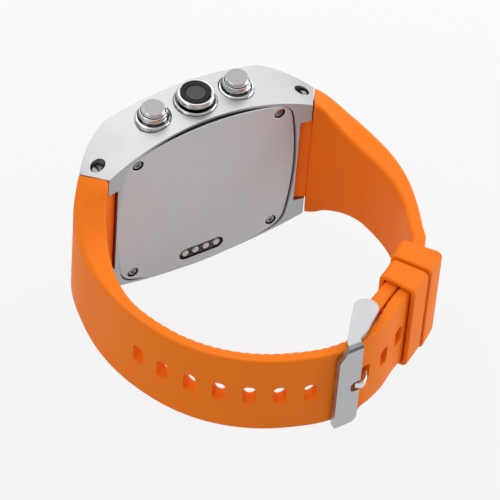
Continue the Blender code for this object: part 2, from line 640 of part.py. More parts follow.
def build_button(side, name, chrome, steel, dark, metal):
    """A pusher with its collar, retaining clip and switch."""
    wall = case_side(BUTTON_X)
    inner = wall - CASE_WALL
    x, y = side * BUTTON_X, BUTTON_Y
    at = (x, y, 0)
    low = wall - FLANGE_SUNK
    flange_top = wall + FLANGE_PROUD
    under_cap = BUTTON_TOP_Z - BUTTON_CAP_THICK
    tube_top = under_cap - BUTTON_TRAVEL - GAP
    neck_low = flange_top + BUTTON_TRAVEL
    seat = neck_low - BUTTON_TRAVEL - GAP
    collar = [(BUTTON_STEM_R + GAP, low), (COLLAR_FLANGE_R, low), (COLLAR_FLANGE_R, flange_top),
              (COLLAR_TUBE_R, flange_top + 0.15), (COLLAR_TUBE_R, tube_top),
              (BUTTON_NECK_R + GAP, tube_top), (BUTTON_NECK_R + GAP, seat),
              (BUTTON_STEM_R + GAP, seat)]
    new_object(f"button_collar_{name}", turned(collar, at, steps=24), chrome)
    clip_high = inner - 2 * GAP
    stem_low = clip_high - CLIP_THICK - 0.5
    clip_low = clip_high - CLIP_THICK
    profile = [(0, stem_low), (BUTTON_STEM_R, stem_low), (BUTTON_STEM_R, neck_low),
               (BUTTON_NECK_R, neck_low), (BUTTON_NECK_R, under_cap), (BUTTON_CAP_R, under_cap),
               (BUTTON_CAP_R, BUTTON_TOP_Z - 0.2), (BUTTON_CAP_R - 0.2, BUTTON_TOP_Z),
               (0, BUTTON_TOP_Z)]
    new_object(f"button_{name}", turned(profile, at, steps=24), steel, at)
    clip = tube(BUTTON_STEM_R + GAP / 2, CLIP_R, clip_low, clip_high, at)
    new_object(f"button_clip_{name}", clip, metal, at)
    top = stem_low - BUTTON_TRAVEL - GAP
    switch = box((x - SWITCH_HALF_X, x + SWITCH_HALF_X), (y - SWITCH_HALF_Y, y + SWITCH_HALF_Y),
                 (BOARD_HALF_WIDTH + GAP, top))
    new_object(f"button_switch_{name}", switch, dark)


def build_lug_pin(side, name, metal):
    """The pin that holds one strap, with a slotted head at each end."""
    half = case_side(LUG_PIN_X) - PIN_RECESS
    under = half - PIN_HEAD_LENGTH
    profile = [(0, -half), (PIN_HEAD_R, -half), (PIN_HEAD_R, -under), (PIN_SHAFT_R, -under),
               (PIN_SHAFT_R, under), (PIN_HEAD_R, under), (PIN_HEAD_R, half), (0, half)]
    x, y = side * LUG_PIN_X, LUG_PIN_Y
    pin = new_object(f"lug_pin_{name}", turned(profile, (x, y, 0), steps=16), metal)
    for up in (-1, 1):
        z = sorted((up * (half - SLOT_DEPTH), up * (half + 1)))
        combine(pin, box((x - PIN_HEAD_R - 1, x + PIN_HEAD_R + 1),
                         (y - SLOT_WIDTH / 2, y + SLOT_WIDTH / 2), z))


def build_long_strap(material):
    """The strap with the holes: root, tongue, plain run and tail."""
    path = long_path()
    side = -1
    root_stations = [0, 2.5, 5, 8, 11, 14, 17, 20, 24, 28, 32, 36]
    stations = root_stations + [TAPER_END]
    rings = strap_root(path, side, LONG_THICK, stations)
    plain_end = path.length - TAIL_TAPER
    count = 22
    runs = [TAPER_END + (plain_end - TAPER_END) * i / count for i in range(1, count + 1)]
    tail = [plain_end + TAIL_TAPER * k for k in (0.35, 0.65, 0.85, 1.0)]
    for distance in runs + tail:
        past = max(distance - plain_end, 0.0) / TAIL_TAPER
        half = TAIL_HALF_WIDTH + (STRAP_HALF_WIDTH - TAIL_HALF_WIDTH) * math.sqrt(1 - 0.96 * past ** 2)
        outer = path.at(distance)
        inner = outer - path_normal(path, distance, side) * LONG_THICK
        rings.append(strap_ring(outer, inner, half, half))
    strap = new_object("strap_long", loft(rings), material)
    combine(strap, tongue(side), "UNION")
    pin = (side * LUG_PIN_X, LUG_PIN_Y, 0)
    combine(strap, rod(PIN_SHAFT_R + GAP, -CASE_HALF_WIDTH, CASE_HALF_WIDTH, pin))
    tang_hole = path.length - TIP_TO_TANG_HOLE
    for i in range(-HOLES_TO_CASE, HOLES_TO_TAIL + 1):
        combine(strap, hole_cutter(path, tang_hole + i * HOLE_PITCH, side, HOLE_HALF_LENGTH,
                                   HOLE_HALF_WIDTH, HOLE_CORNER, LONG_THICK + 1))
    return path


def build_short_strap(material):
    """The buckle's strap: root, tongue, run under the keepers and loop for the bar."""
    path = short_path()
    side = 1
    stations = [0, 2.5, 5, 8, 11, 14, 17, 20, 24, 28, 32, 36, TAPER_END]
    count = 5
    stations += [TAPER_END + (path.length - TAPER_END) * i / count for i in range(1, count)]
    rings = strap_root(path, side, SHORT_THICK, stations)
    outer_r = short_outer_radius()
    inner_r = outer_r - SHORT_THICK
    steps = 12
    for i in range(steps + 1):
        angle = CLASP_END + (BAR_PIN_ANGLE - CLASP_END) * i / steps
        blend = smooth_step((CLASP_START - angle) / (CLASP_START - BAR_PIN_ANGLE))
        outer = clasp_point(outer_r + (BAR_PIN_R + LOOP_R - outer_r) * blend, angle)
        inner = clasp_point(inner_r + (BAR_PIN_R - LOOP_R - inner_r) * blend, angle)
        rings.append(strap_ring(outer, inner, STRAP_HALF_WIDTH, STRAP_HALF_WIDTH))
    strap = new_object("strap_short", loft(rings), material)
    combine(strap, tongue(side), "UNION")
    bar = clasp_point(BAR_PIN_R, BAR_PIN_ANGLE)
    loop_half = STRAP_HALF_WIDTH - 0.02
    combine(strap, rod(LOOP_R, -loop_half, loop_half, (bar.x, bar.y, 0), steps=20), "UNION")
    combine(strap, rod(SPRING_BAR_R + GAP, -CASE_HALF_WIDTH, CASE_HALF_WIDTH, (bar.x, bar.y, 0)))
    pin = (side * LUG_PIN_X, LUG_PIN_Y, 0)
    combine(strap, rod(PIN_SHAFT_R + GAP, -CASE_HALF_WIDTH, CASE_HALF_WIDTH, pin))
    room = TANG_RING_R + 2 * GAP
    combine(strap, box((bar.x - 4, bar.x + room), (bar.y - 4, bar.y + 4),
                       (-TANG_SLOT_HALF, TANG_SLOT_HALF)))


def build_keeper(name, start, end, material, origin):
    """A band round both straps, bent to the clasp's arc."""
    low = short_outer_radius() - SHORT_THICK - KEEPER_GAP
    high = CLASP_R + KEEPER_GAP
    half = STRAP_HALF_WIDTH + KEEPER_GAP

    def sleeve(grow, first, last, steps):
        rings = []
        for i in range(steps + 1):
            angle = first + (last - first) * i / steps
            near, far = clasp_point(low - grow, angle), clasp_point(high + grow, angle)
            rings.append([(near.x, near.y, -half - grow), (far.x, far.y, -half - grow),
                          (far.x, far.y, half + grow), (near.x, near.y, half + grow)])
        return loft(rings)

    keeper = new_object(name, sleeve(KEEPER_WALL, start, end, 4), material, origin)
    combine(keeper, sleeve(0.0, start - 1, end + 1, 6))
    return keeper


def build_buckle(path, steel, chrome):
    """Frame, tang and spring bar, all about the bar's axis."""
    bar = clasp_point(BAR_PIN_R, BAR_PIN_ANGLE)
    origin = (bar.x, bar.y, 0)
    hole = path.length - TIP_TO_TANG_HOLE
    spot = hole - BAR_FROM_TANG_HOLE
    way, normal = path.along(spot), path_normal(path, spot, -1)
    middle = path.at(spot) + normal * (GAP + BUCKLE_THICK / 2)
    half = BUCKLE_THICK / 2

    def plate_point(along, out):
        return middle + way * along + normal * out

    plate = [plate_point(a, b) for a, b in
             ((-BAR_HALF_LENGTH, -half), (BAR_HALF_LENGTH, -half),
              (BAR_HALF_LENGTH, half), (-BAR_HALF_LENGTH, half))]
    bar_half = BUCKLE_HALF_WIDTH - 0.1
    frame = new_object("buckle_frame", prism([tuple(p) for p in plate], -bar_half, bar_half, "Z"),
                       steel, origin)
    foot = [plate_point(-BAR_HALF_LENGTH + 0.15, -half + 0.05),
            plate_point(-BAR_HALF_LENGTH + 0.15, half - 0.05),
            plate_point(BAR_HALF_LENGTH - 1.4, half - 0.05)]
    arm_way = (middle - bar).normalized()
    across = Vector((-arm_way.y, arm_way.x))
    turn = math.degrees(math.atan2(arm_way.y, arm_way.x))
    ear = [Vector(p) for p in arc(bar, BUCKLE_EAR_R, turn + 50, turn + 310, 18)]
    neck_at = bar + arm_way * 6.4
    outline = ear + [neck_at - across * BUCKLE_NECK] + foot + [neck_at + across * BUCKLE_NECK]
    for up in (-1, 1):
        z = sorted((up * (BUCKLE_HALF_WIDTH - BUCKLE_THICK), up * BUCKLE_HALF_WIDTH))
        combine(frame, prism([tuple(p) for p in outline], z[0], z[1], "Z"), "UNION")
        tip_hole = sorted((up * (BUCKLE_HALF_WIDTH - 0.4), up * (STRAP_HALF_WIDTH - 1)))
        combine(frame, rod(SPRING_TIP_R + GAP, tip_hole[0], tip_hole[1], origin, steps=12))
        combine(frame, corner_cutter(plate_point, half, up))
    notch = [plate_point(a, b) for a, b in
             ((BAR_HALF_LENGTH - BAR_NOTCH_DEPTH, -2), (BAR_HALF_LENGTH + 2, -2),
              (BAR_HALF_LENGTH + 2, 2), (BAR_HALF_LENGTH - BAR_NOTCH_DEPTH, 2))]
    combine(frame, prism([tuple(p) for p in notch], -BAR_NOTCH_HALF, BAR_NOTCH_HALF, "Z"))

    shaft = BUCKLE_HALF_WIDTH - BUCKLE_THICK - GAP
    tip = BUCKLE_HALF_WIDTH - 0.4 - GAP
    profile = [(0, -tip), (SPRING_TIP_R, -tip), (SPRING_TIP_R, -shaft), (SPRING_BAR_R, -shaft),
               (SPRING_BAR_R, shaft), (SPRING_TIP_R, shaft), (SPRING_TIP_R, tip), (0, tip)]
    new_object("buckle_pin", turned(profile, origin, steps=16), chrome)

    hole_normal = path_normal(path, hole, -1)
    through = path.at(hole) - path.along(hole) * TANG_SHY
    through_out = through + hole_normal * 0.2
    through_in = through - hole_normal * (LONG_THICK + 0.2)
    rest = plate_point(BAR_HALF_LENGTH - BAR_NOTCH_DEPTH + 0.5, 0.2)
    knee = plate_point(BAR_HALF_LENGTH + 0.6, 0.55)
    start = bar + (through_in - bar).normalized() * (TANG_RING_R - 0.6)
    spine = smooth_curve([start, through_in, through_out, knee, rest],
                         (through_in - bar).normalized(), -way, 4)
    tang_path = Path(spine)
    left, right = [], []
    stations = 14
    for i in range(stations + 1):
        distance = tang_path.length * i / stations
        at, step = tang_path.at(distance), tang_path.along(distance, 0.3)
        side_step = Vector((-step.y, step.x)) * TANG_THICK / 2
        left.append(at + side_step)
        right.append(at - side_step)
    outline = [tuple(p) for p in left + list(reversed(right))]
    tang = new_object("buckle_tang", prism(outline, -TANG_HALF_WIDTH, TANG_HALF_WIDTH, "Z"),
                      chrome, origin)
    ring_half = TANG_HALF_WIDTH - 0.02
    combine(tang, rod(TANG_RING_R, -ring_half, ring_half, origin, steps=20), "UNION")
    combine(tang, rod(SPRING_BAR_R + GAP, -4, 4, origin))


def corner_cutter(plate_point, half, up):
    """Takes the corner off the bar, on its side towards the strap's tail."""
    z_end, z_start = up * (BUCKLE_HALF_WIDTH + 1), up * (BUCKLE_HALF_WIDTH - BAR_CORNER)
    rings = []
    for out in (-half - 1, half + 1):
        ring = []
        for along, z in ((BAR_HALF_LENGTH + 0.01, z_start), (BAR_HALF_LENGTH + 3, z_start),
                         (BAR_HALF_LENGTH + 3, z_end), (BAR_HALF_LENGTH - 1.6, z_end)):
            p = plate_point(along, out)
            ring.append((p.x, p.y, z))
        rings.append(ring)
    return loft(rings)


def main():
    for obj in list(bpy.data.objects):
        bpy.data.objects.remove(obj)
    satin = new_material("satin_steel", (0.78, 0.78, 0.77), 0.32, 1.0)
    brushed = new_material("brushed_steel", (0.42, 0.42, 0.42), 0.4, 1.0)
    chrome = new_material("polished_chrome", (0.82, 0.82, 0.82), 0.08, 1.0)
    contact = new_material("contact_plating", (0.75, 0.74, 0.70), 0.25, 1.0)
    silicone = new_material("orange_silicone", (0.85, 0.20, 0.02), 0.5)
    rubber = new_material("seal_rubber", (0.03, 0.03, 0.03), 0.7)
    black = new_material("black_plastic", (0.02, 0.02, 0.02), 0.35)
    dark = new_material("component_black", (0.05, 0.05, 0.055), 0.5)
    glass = new_material("cover_glass", (0.02, 0.02, 0.025), 0.05, 0.0, 0.4)
    green = new_material("circuit_board", (0.02, 0.16, 0.07), 0.45)
    foil = new_material("battery_foil", (0.55, 0.56, 0.58), 0.35, 0.6)
    ceramic = new_material("antenna_ceramic", (0.62, 0.55, 0.42), 0.6)

    build_mid_case(satin)
    build_back(brushed, rubber, black, contact)
    display_back = build_front(chrome, glass, black)
    build_inside(display_back, green, foil, dark, ceramic, chrome)
    build_camera(chrome, black, dark)
    for side, name in ((-1, "left"), (1, "right")):
        build_button(side, name, chrome, satin, dark, chrome)
        build_lug_pin(side, name, chrome)
    path = build_long_strap(silicone)
    build_short_strap(silicone)
    clasp = (CLASP_X, CLASP_Y, 0)
    build_keeper("keeper_fixed", *KEEPER_FIXED, silicone, clasp)
    build_keeper("keeper_sliding", *KEEPER_SLIDING, silicone, clasp)
    build_buckle(path, satin, chrome)


main()
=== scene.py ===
"""Looks of a wrist watch with a camera in its side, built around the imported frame.

The frame's axes: the origin is the middle of the case back's outer face, +Y points away
from the wrist, +X runs along the case towards the buckle's strap, and +Z points out of
the side that carries the camera and the two pushers. Shapes are drawn in millimetres and
become metres when a piece is finished.
"""

import logging
import math
from dataclasses import dataclass, field
from enum import Enum
from typing import Callable, Sequence

import bmesh
import bpy
from mathutils import Matrix, Vector


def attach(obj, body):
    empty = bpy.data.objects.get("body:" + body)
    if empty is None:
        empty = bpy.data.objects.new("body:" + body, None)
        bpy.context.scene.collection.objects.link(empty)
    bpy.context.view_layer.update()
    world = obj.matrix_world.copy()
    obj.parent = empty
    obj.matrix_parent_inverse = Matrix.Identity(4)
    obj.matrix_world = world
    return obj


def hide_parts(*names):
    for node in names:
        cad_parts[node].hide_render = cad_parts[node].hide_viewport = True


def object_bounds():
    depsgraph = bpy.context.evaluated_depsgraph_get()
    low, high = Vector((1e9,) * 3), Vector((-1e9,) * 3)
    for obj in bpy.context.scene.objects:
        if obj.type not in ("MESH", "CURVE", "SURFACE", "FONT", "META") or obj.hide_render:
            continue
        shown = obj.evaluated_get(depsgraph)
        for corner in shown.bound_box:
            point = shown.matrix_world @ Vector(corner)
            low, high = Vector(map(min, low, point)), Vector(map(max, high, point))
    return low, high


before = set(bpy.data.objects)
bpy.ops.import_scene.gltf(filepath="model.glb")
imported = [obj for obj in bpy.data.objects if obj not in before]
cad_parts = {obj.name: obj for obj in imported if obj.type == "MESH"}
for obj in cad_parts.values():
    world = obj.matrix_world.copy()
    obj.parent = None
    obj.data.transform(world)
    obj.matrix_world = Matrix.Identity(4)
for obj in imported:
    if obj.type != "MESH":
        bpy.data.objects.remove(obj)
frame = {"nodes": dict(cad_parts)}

CAD_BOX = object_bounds()
LOG = logging.getLogger("watch")
MM = 0.001

Outline = list[tuple[float, float]]
Ring = list[tuple[float, float, float]]


# ---------------------------------------------------------------- small geometry


class Axis(Enum):
    """The direction that a flat outline is thickened along, or a profile is turned about."""

    Y = "Y"
    Z = "Z"


class Cut(Enum):
    """What one body does to another."""

    AWAY = "DIFFERENCE"
    JOIN = "UNION"


def arc(centre: Sequence[float], radius: float, start: float, end: float, count: int) -> Outline:
    """Give points on an arc.

    Args:
        centre: Its centre, of which the first two numbers are read.
        radius: Its radius.
        start: Its first angle in degrees.
        end: Its last angle in degrees.
        count: The number of steps between them.

    Returns:
        The points, one more than the steps.
    """
    angles = [math.radians(start + (end - start) * i / count) for i in range(count + 1)]
    return [(centre[0] + radius * math.cos(a), centre[1] + radius * math.sin(a)) for a in angles]


def smooth_step(value: float) -> float:
    """Ease a share between 0 and 1, and hold it there outside."""
    value = min(max(value, 0.0), 1.0)
    return value * value * (3 - 2 * value)


def round_box(half_a: float, half_b: float, corner: float, steps: int = 5) -> Outline:
    """Give a rectangle with round corners about the origin.

    Args:
        half_a: Half its size along the first axis.
        half_b: Half its size along the second axis.
        corner: The radius of its corners.
        steps: The number of steps round each corner.

    Returns:
        The outline, anticlockwise.
    """
    outline: Outline = []
    for i, (a, b) in enumerate([(1, 1), (-1, 1), (-1, -1), (1, -1)]):
        centre = (a * (half_a - corner), b * (half_b - corner))
        outline += arc(centre, corner, 90 * i, 90 * i + 90, steps)
    return outline


@dataclass(frozen=True)
class Barrel:
    """A plan outline with bulging sides and ends and round corners."""

    half_length: float
    half_width: float
    side_radius: float
    end_radius: float
    corner: float

    def outline(self, grow: float = 0.0) -> Outline:
        """Draw it as points of x and z.

        Args:
            grow: How far it is moved outwards all round.

        Returns:
            The closed outline.
        """
        side = (0.0, self.half_width - self.side_radius)
        end = (self.half_length - self.end_radius, 0.0)
        reach_side, reach_end = self.side_radius - self.corner, self.end_radius - self.corner
        away = math.dist(side, end)
        along = (reach_side ** 2 - reach_end ** 2 + away ** 2) / (2 * away)
        across = math.sqrt(reach_side ** 2 - along ** 2)
        step = ((end[0] - side[0]) / away, (end[1] - side[1]) / away)
        corner = (side[0] + along * step[0] + across * step[1],
                  side[1] + along * step[1] - across * step[0])
        turn = math.degrees(math.atan2(corner[1] - side[1], corner[0] - side[0]))
        tilt = math.degrees(math.atan2(corner[1] - end[1], corner[0] - end[0]))
        quarter = arc(side, self.side_radius + grow, 90, turn, 14)[:-1]
        quarter += arc(corner, self.corner + grow, turn, tilt, 10)
        quarter += arc(end, self.end_radius + grow, tilt, 0, 9)[1:]
        half = quarter + [(x, -z) for x, z in reversed(quarter[:-1])]
        return half + [(-x, z) for x, z in reversed(half[1:-1])]


class Route:
    """A run of points in the plane that is read by the distance along it."""

    def __init__(self, points: Sequence[Vector]) -> None:
        """Measure the run of points.

        Args:
            points: Its points in order, in millimetres.
        """
        self.points = list(points)
        self.marks = [0.0]
        for a, b in zip(self.points, self.points[1:]):
            self.marks.append(self.marks[-1] + (b - a).length)

    @property
    def length(self) -> float:
        """Its whole length."""
        return self.marks[-1]

    def at(self, distance: float) -> Vector:
        """Give the point at a distance along it.

        Args:
            distance: The way from its first point, in millimetres.

        Returns:
            The point there.
        """
        for i, (low, high) in enumerate(zip(self.marks, self.marks[1:])):
            if distance <= high:
                return self.points[i].lerp(self.points[i + 1], (distance - low) / (high - low))
        return self.points[-1].copy()

    def along(self, distance: float, reach: float = 0.4) -> Vector:
        """Give its direction at a distance along it."""
        low, high = max(distance - reach, 0.0), min(distance + reach, self.length)
        return (self.at(high) - self.at(low)).normalized()

    def normal(self, distance: float, side: int) -> Vector:
        """Give its outward normal; side is +1 where it runs clockwise round the wrist."""
        way = self.along(distance)
        return Vector((-way.y, way.x)) * side


def smooth_curve(points: Sequence[Sequence[float]], first: Vector, last: Vector,
                 pieces: int = 12) -> list[Vector]:
    """Run a cubic curve through points.

    Args:
        points: The points to pass.
        first: The direction in which it leaves.
        last: The direction in which it arrives.
        pieces: The steps between two points.

    Returns:
        Points close together on the curve.
    """
    knots = [Vector(p) for p in points]
    ways = [first] + [(b - a).normalized() for a, b in zip(knots, knots[2:])] + [last]
    result = []
    for i, (a, b) in enumerate(zip(knots, knots[1:])):
        reach = (b - a).length
        for k in range(pieces):
            t = k / pieces
            result.append((2 * t ** 3 - 3 * t ** 2 + 1) * a + (3 * t ** 2 - 2 * t ** 3) * b
                          + (t ** 3 - 2 * t ** 2 + t) * reach * ways[i]
                          + (t ** 3 - t ** 2) * reach * ways[i + 1])
    return result + [knots[-1]]


# ---------------------------------------------------------------- making meshes


def slab(outline: Outline, low: float, high: float, axis: Axis) -> bmesh.types.BMesh:
    """Thicken an outline of (x, z) along Y, or of (x, y) along Z, between two heights.

    Args:
        outline: The closed outline, in order.
        low: The lower height.
        high: The upper height.
        axis: The axis it is thickened along.

    Returns:
        A closed mesh.
    """
    bm = bmesh.new()
    if axis is Axis.Y:
        corners = [bm.verts.new((a, low, b)) for a, b in outline]
        shift = Vector((0, high - low, 0))
    else:
        corners = [bm.verts.new((a, b, low)) for a, b in outline]
        shift = Vector((0, 0, high - low))
    face = bm.faces.new(corners)
    grown = bmesh.ops.extrude_face_region(bm, geom=[face])["geom"]
    bmesh.ops.translate(bm, verts=[g for g in grown if isinstance(g, bmesh.types.BMVert)], vec=shift)
    bmesh.ops.recalc_face_normals(bm, faces=bm.faces)
    return bm


def block(x: Sequence[float], y: Sequence[float], z: Sequence[float]) -> bmesh.types.BMesh:
    """Make a block between three pairs of low and high.

    Args:
        x: Its low and high X.
        y: Its low and high Y.
        z: Its low and high Z.

    Returns:
        A closed mesh.
    """
    bm = bmesh.new()
    middle = Vector(((x[0] + x[1]) / 2, (y[0] + y[1]) / 2, (z[0] + z[1]) / 2))
    size = (x[1] - x[0], y[1] - y[0], z[1] - z[0])
    bmesh.ops.create_cube(bm, size=1.0)
    bmesh.ops.scale(bm, verts=bm.verts, vec=size)
    bmesh.ops.translate(bm, verts=bm.verts, vec=middle)
    return bm


def rod(radius: float, low: float, high: float, centre: Sequence[float], axis: Axis = Axis.Z,
        steps: int = 40) -> bmesh.types.BMesh:
    """Make a plain round bar between two heights, its axis through centre."""
    across = (centre[0], centre[2]) if axis is Axis.Y else (centre[0], centre[1])
    return slab(arc(across, radius, 0, 360, steps)[:-1], low, high, axis)


def turned(profile: Sequence[Sequence[float]], centre: Sequence[float], axis: Axis = Axis.Z,
           steps: int = 64) -> bmesh.types.BMesh:
    """Turn a profile into a round body.

    Args:
        profile: Points of (radius, height); it is closed unless it starts on the axis.
        centre: A point on the axis.
        axis: The direction of the axis.
        steps: The number of steps in the full turn.

    Returns:
        The turned mesh, its doubles merged and its faces outwards.
    """
    bm = bmesh.new()
    verts = [bm.verts.new((r, 0, h)) for r, h in profile]
    edges = [bm.edges.new(pair) for pair in zip(verts, verts[1:])]
    if profile[0][0] > 0:
        edges.append(bm.edges.new((verts[-1], verts[0])))
    bmesh.ops.spin(bm, geom=verts + edges, cent=(0, 0, 0), axis=(0, 0, 1), angle=math.tau,
                   steps=steps, use_merge=True)
    bmesh.ops.remove_doubles(bm, verts=bm.verts, dist=1e-4)
    bmesh.ops.recalc_face_normals(bm, faces=bm.faces)
    if axis is Axis.Y:
        bmesh.ops.rotate(bm, verts=bm.verts, matrix=Matrix.Rotation(math.radians(-90), 3, "X"))
    bmesh.ops.translate(bm, verts=bm.verts, vec=centre)
    return bm


def swept(rings: Sequence[Ring]) -> bmesh.types.BMesh:
    """Draw one section out into the next, from the first ring to the last.

    Args:
        rings: Sections that have the same number of points.

    Returns:
        The closed mesh, its faces outwards.
    """
    bm = bmesh.new()
    row = [bm.verts.new(p) for p in rings[0]]
    tip = bm.faces.new(row)
    for i, ring in enumerate(rings[1:]):
        drawn = bmesh.ops.extrude_face_region(bm, geom=[tip])["geom"]
        if i > 0:
            bmesh.ops.delete(bm, geom=[tip], context="FACES_ONLY")
        fresh = {tuple(g.co): g for g in drawn if isinstance(g, bmesh.types.BMVert)}
        row = [fresh[tuple(vert.co)] for vert in row]
        tip = next(g for g in drawn if isinstance(g, bmesh.types.BMFace))
        for vert, place in zip(row, ring):
            vert.co = place
    bmesh.ops.recalc_face_normals(bm, faces=bm.faces)
    return bm


def soften(bm: bmesh.types.BMesh, width: float, segments: int = 3, angle: float = 40.0,
           where: Callable[[Vector], bool] | None = None) -> bmesh.types.BMesh:
    """Round the edges that are sharper than an angle.

    Args:
        bm: The mesh, which is changed.
        width: How far the rounding reaches from the edge.
        segments: Its number of steps.
        angle: The least angle in degrees between the two faces of a rounded edge.
        where: A test of an edge's middle; only the edges that pass it are rounded.

    Returns:
        The same mesh.
    """
    limit = math.radians(angle)
    edges = [e for e in bm.edges if len(e.link_faces) == 2 and e.calc_face_angle(0.0) > limit
             and (where is None or where((e.verts[0].co + e.verts[1].co) / 2))]
    bmesh.ops.bevel(bm, geom=edges, offset=width, offset_type="OFFSET", affect="EDGES",
                    segments=segments, profile=0.5, material=-1, clamp_overlap=True)
    return bm


def carved(bm: bmesh.types.BMesh, tool: bmesh.types.BMesh, cut: Cut = Cut.AWAY,
           solver: str = "EXACT") -> bmesh.types.BMesh:
    """Cut a body with another, or join the two.

    Args:
        bm: The body, which is used up.
        tool: The other body, which is used up.
        cut: What is done with it.
        solver: The Boolean solver.

    Returns:
        The new body.
    """
    objects = []
    for name, source in (("body_blank", bm), ("tool_blank", tool)):
        mesh = bpy.data.meshes.new(name)
        source.to_mesh(mesh)
        source.free()
        obj = bpy.data.objects.new(name, mesh)
        bpy.context.scene.collection.objects.link(obj)
        objects.append(obj)
    body, cutter = objects
    modifier = body.modifiers.new("cut", "BOOLEAN")
    modifier.operation = cut.value
    modifier.solver = solver
    modifier.object = cutter
    graph = bpy.context.evaluated_depsgraph_get()
    graph.update()
    result = bmesh.new()
    result.from_mesh(body.evaluated_get(graph).to_mesh())
    body.evaluated_get(graph).to_mesh_clear()
    for obj in objects:
        mesh = obj.data
        bpy.data.objects.remove(obj)
        bpy.data.meshes.remove(mesh)
    bmesh.ops.remove_doubles(result, verts=result.verts, dist=1e-4)
    bmesh.ops.dissolve_degenerate(result, edges=result.edges, dist=1e-4)
    return result


def moved(bm: bmesh.types.BMesh, matrix: Matrix) -> bmesh.types.BMesh:
    """Put a mesh that was made in its own axes in its place, its faces outwards.

    Args:
        bm: The mesh, which is changed.
        matrix: Its place and turn.

    Returns:
        The same mesh.
    """
    bmesh.ops.transform(bm, matrix=matrix, verts=bm.verts)
    bmesh.ops.recalc_face_normals(bm, faces=bm.faces)
    return bm


@dataclass
class Edges:
    """How a finished piece's edges are treated."""

    width: float = 0.0
    segments: int = 2
    angle: float = 38.0


def finished(name: str, bm: bmesh.types.BMesh, material: bpy.types.Material, body: str,
             stands_for: Sequence[str] = (), edges: Edges = Edges(),
             second: tuple[bpy.types.Material, Callable[[bmesh.types.BMFace], bool]] | None = None
             ) -> bpy.types.Object:
    """Turn a mesh in millimetres into a dressed piece that rides on a body.

    Args:
        name: The piece's name.
        bm: Its mesh, which is used up.
        material: Its finish.
        body: The body that it moves with.
        stands_for: The frame's nodes that it replaces.
        edges: A last rounding of its sharp edges.
        second: Another finish, and a test of the faces that it takes.

    Returns:
        The piece.
    """
    if second is not None:
        for face in bm.faces:
            face.material_index = int(second[1](face))
    bmesh.ops.scale(bm, verts=bm.verts, vec=(MM, MM, MM))
    mesh = bpy.data.meshes.new(name)
    bm.to_mesh(mesh)
    bm.free()
    piece = bpy.data.objects.new(name, mesh)
    bpy.context.scene.collection.objects.link(piece)
    mesh.materials.append(material)
    if second is not None:
        mesh.materials.append(second[0])
    mesh.shade_smooth()
    mesh.set_sharp_from_angle(angle=math.radians(50))
    if edges.width > 0:
        bevel = piece.modifiers.new("edges", "BEVEL")
        bevel.width = edges.width * MM
        bevel.segments = edges.segments
        bevel.limit_method = "ANGLE"
        bevel.angle_limit = math.radians(edges.angle)
        bevel.use_clamp_overlap = True
        bevel.harden_normals = False
    weighted = piece.modifiers.new("normals", "WEIGHTED_NORMAL")
    weighted.keep_sharp = True
    if stands_for:
        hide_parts(*stands_for)
    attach(piece, body)
    LOG.info("%s: %d faces on %s", name, len(mesh.polygons), body)
    return piece


# ---------------------------------------------------------------- finishes


def linear(code: str) -> tuple[float, float, float, float]:
    """Turn an sRGB hex colour such as #FF8800 into the linear one that shaders take.

    Args:
        code: The colour, a # and six digits.

    Returns:
        Its red, green, blue and an alpha of one.
    """
    parts = [int(code[i:i + 2], 16) / 255 for i in (1, 3, 5)]
    red, green, blue = (c / 12.92 if c <= 0.04045 else ((c + 0.055) / 1.055) ** 2.4 for c in parts)
    return (red, green, blue, 1.0)


def add_node(tree: bpy.types.NodeTree, kind: str, settings: dict | None = None,
             links: dict | None = None) -> bpy.types.Node:
    """Add a shader node.

    Args:
        tree: The tree that it joins.
        kind: The node's type.
        settings: Values by socket name or index, or by the node's own property name.
        links: Output sockets by the name or index of the input that they feed.

    Returns:
        The node.
    """
    node = tree.nodes.new(kind)
    for key, value in (settings or {}).items():
        if isinstance(key, int) or key in node.inputs:
            node.inputs[key].default_value = value
        else:
            setattr(node, key, value)
    for key, socket in (links or {}).items():
        tree.links.new(socket, node.inputs[key])
    return node


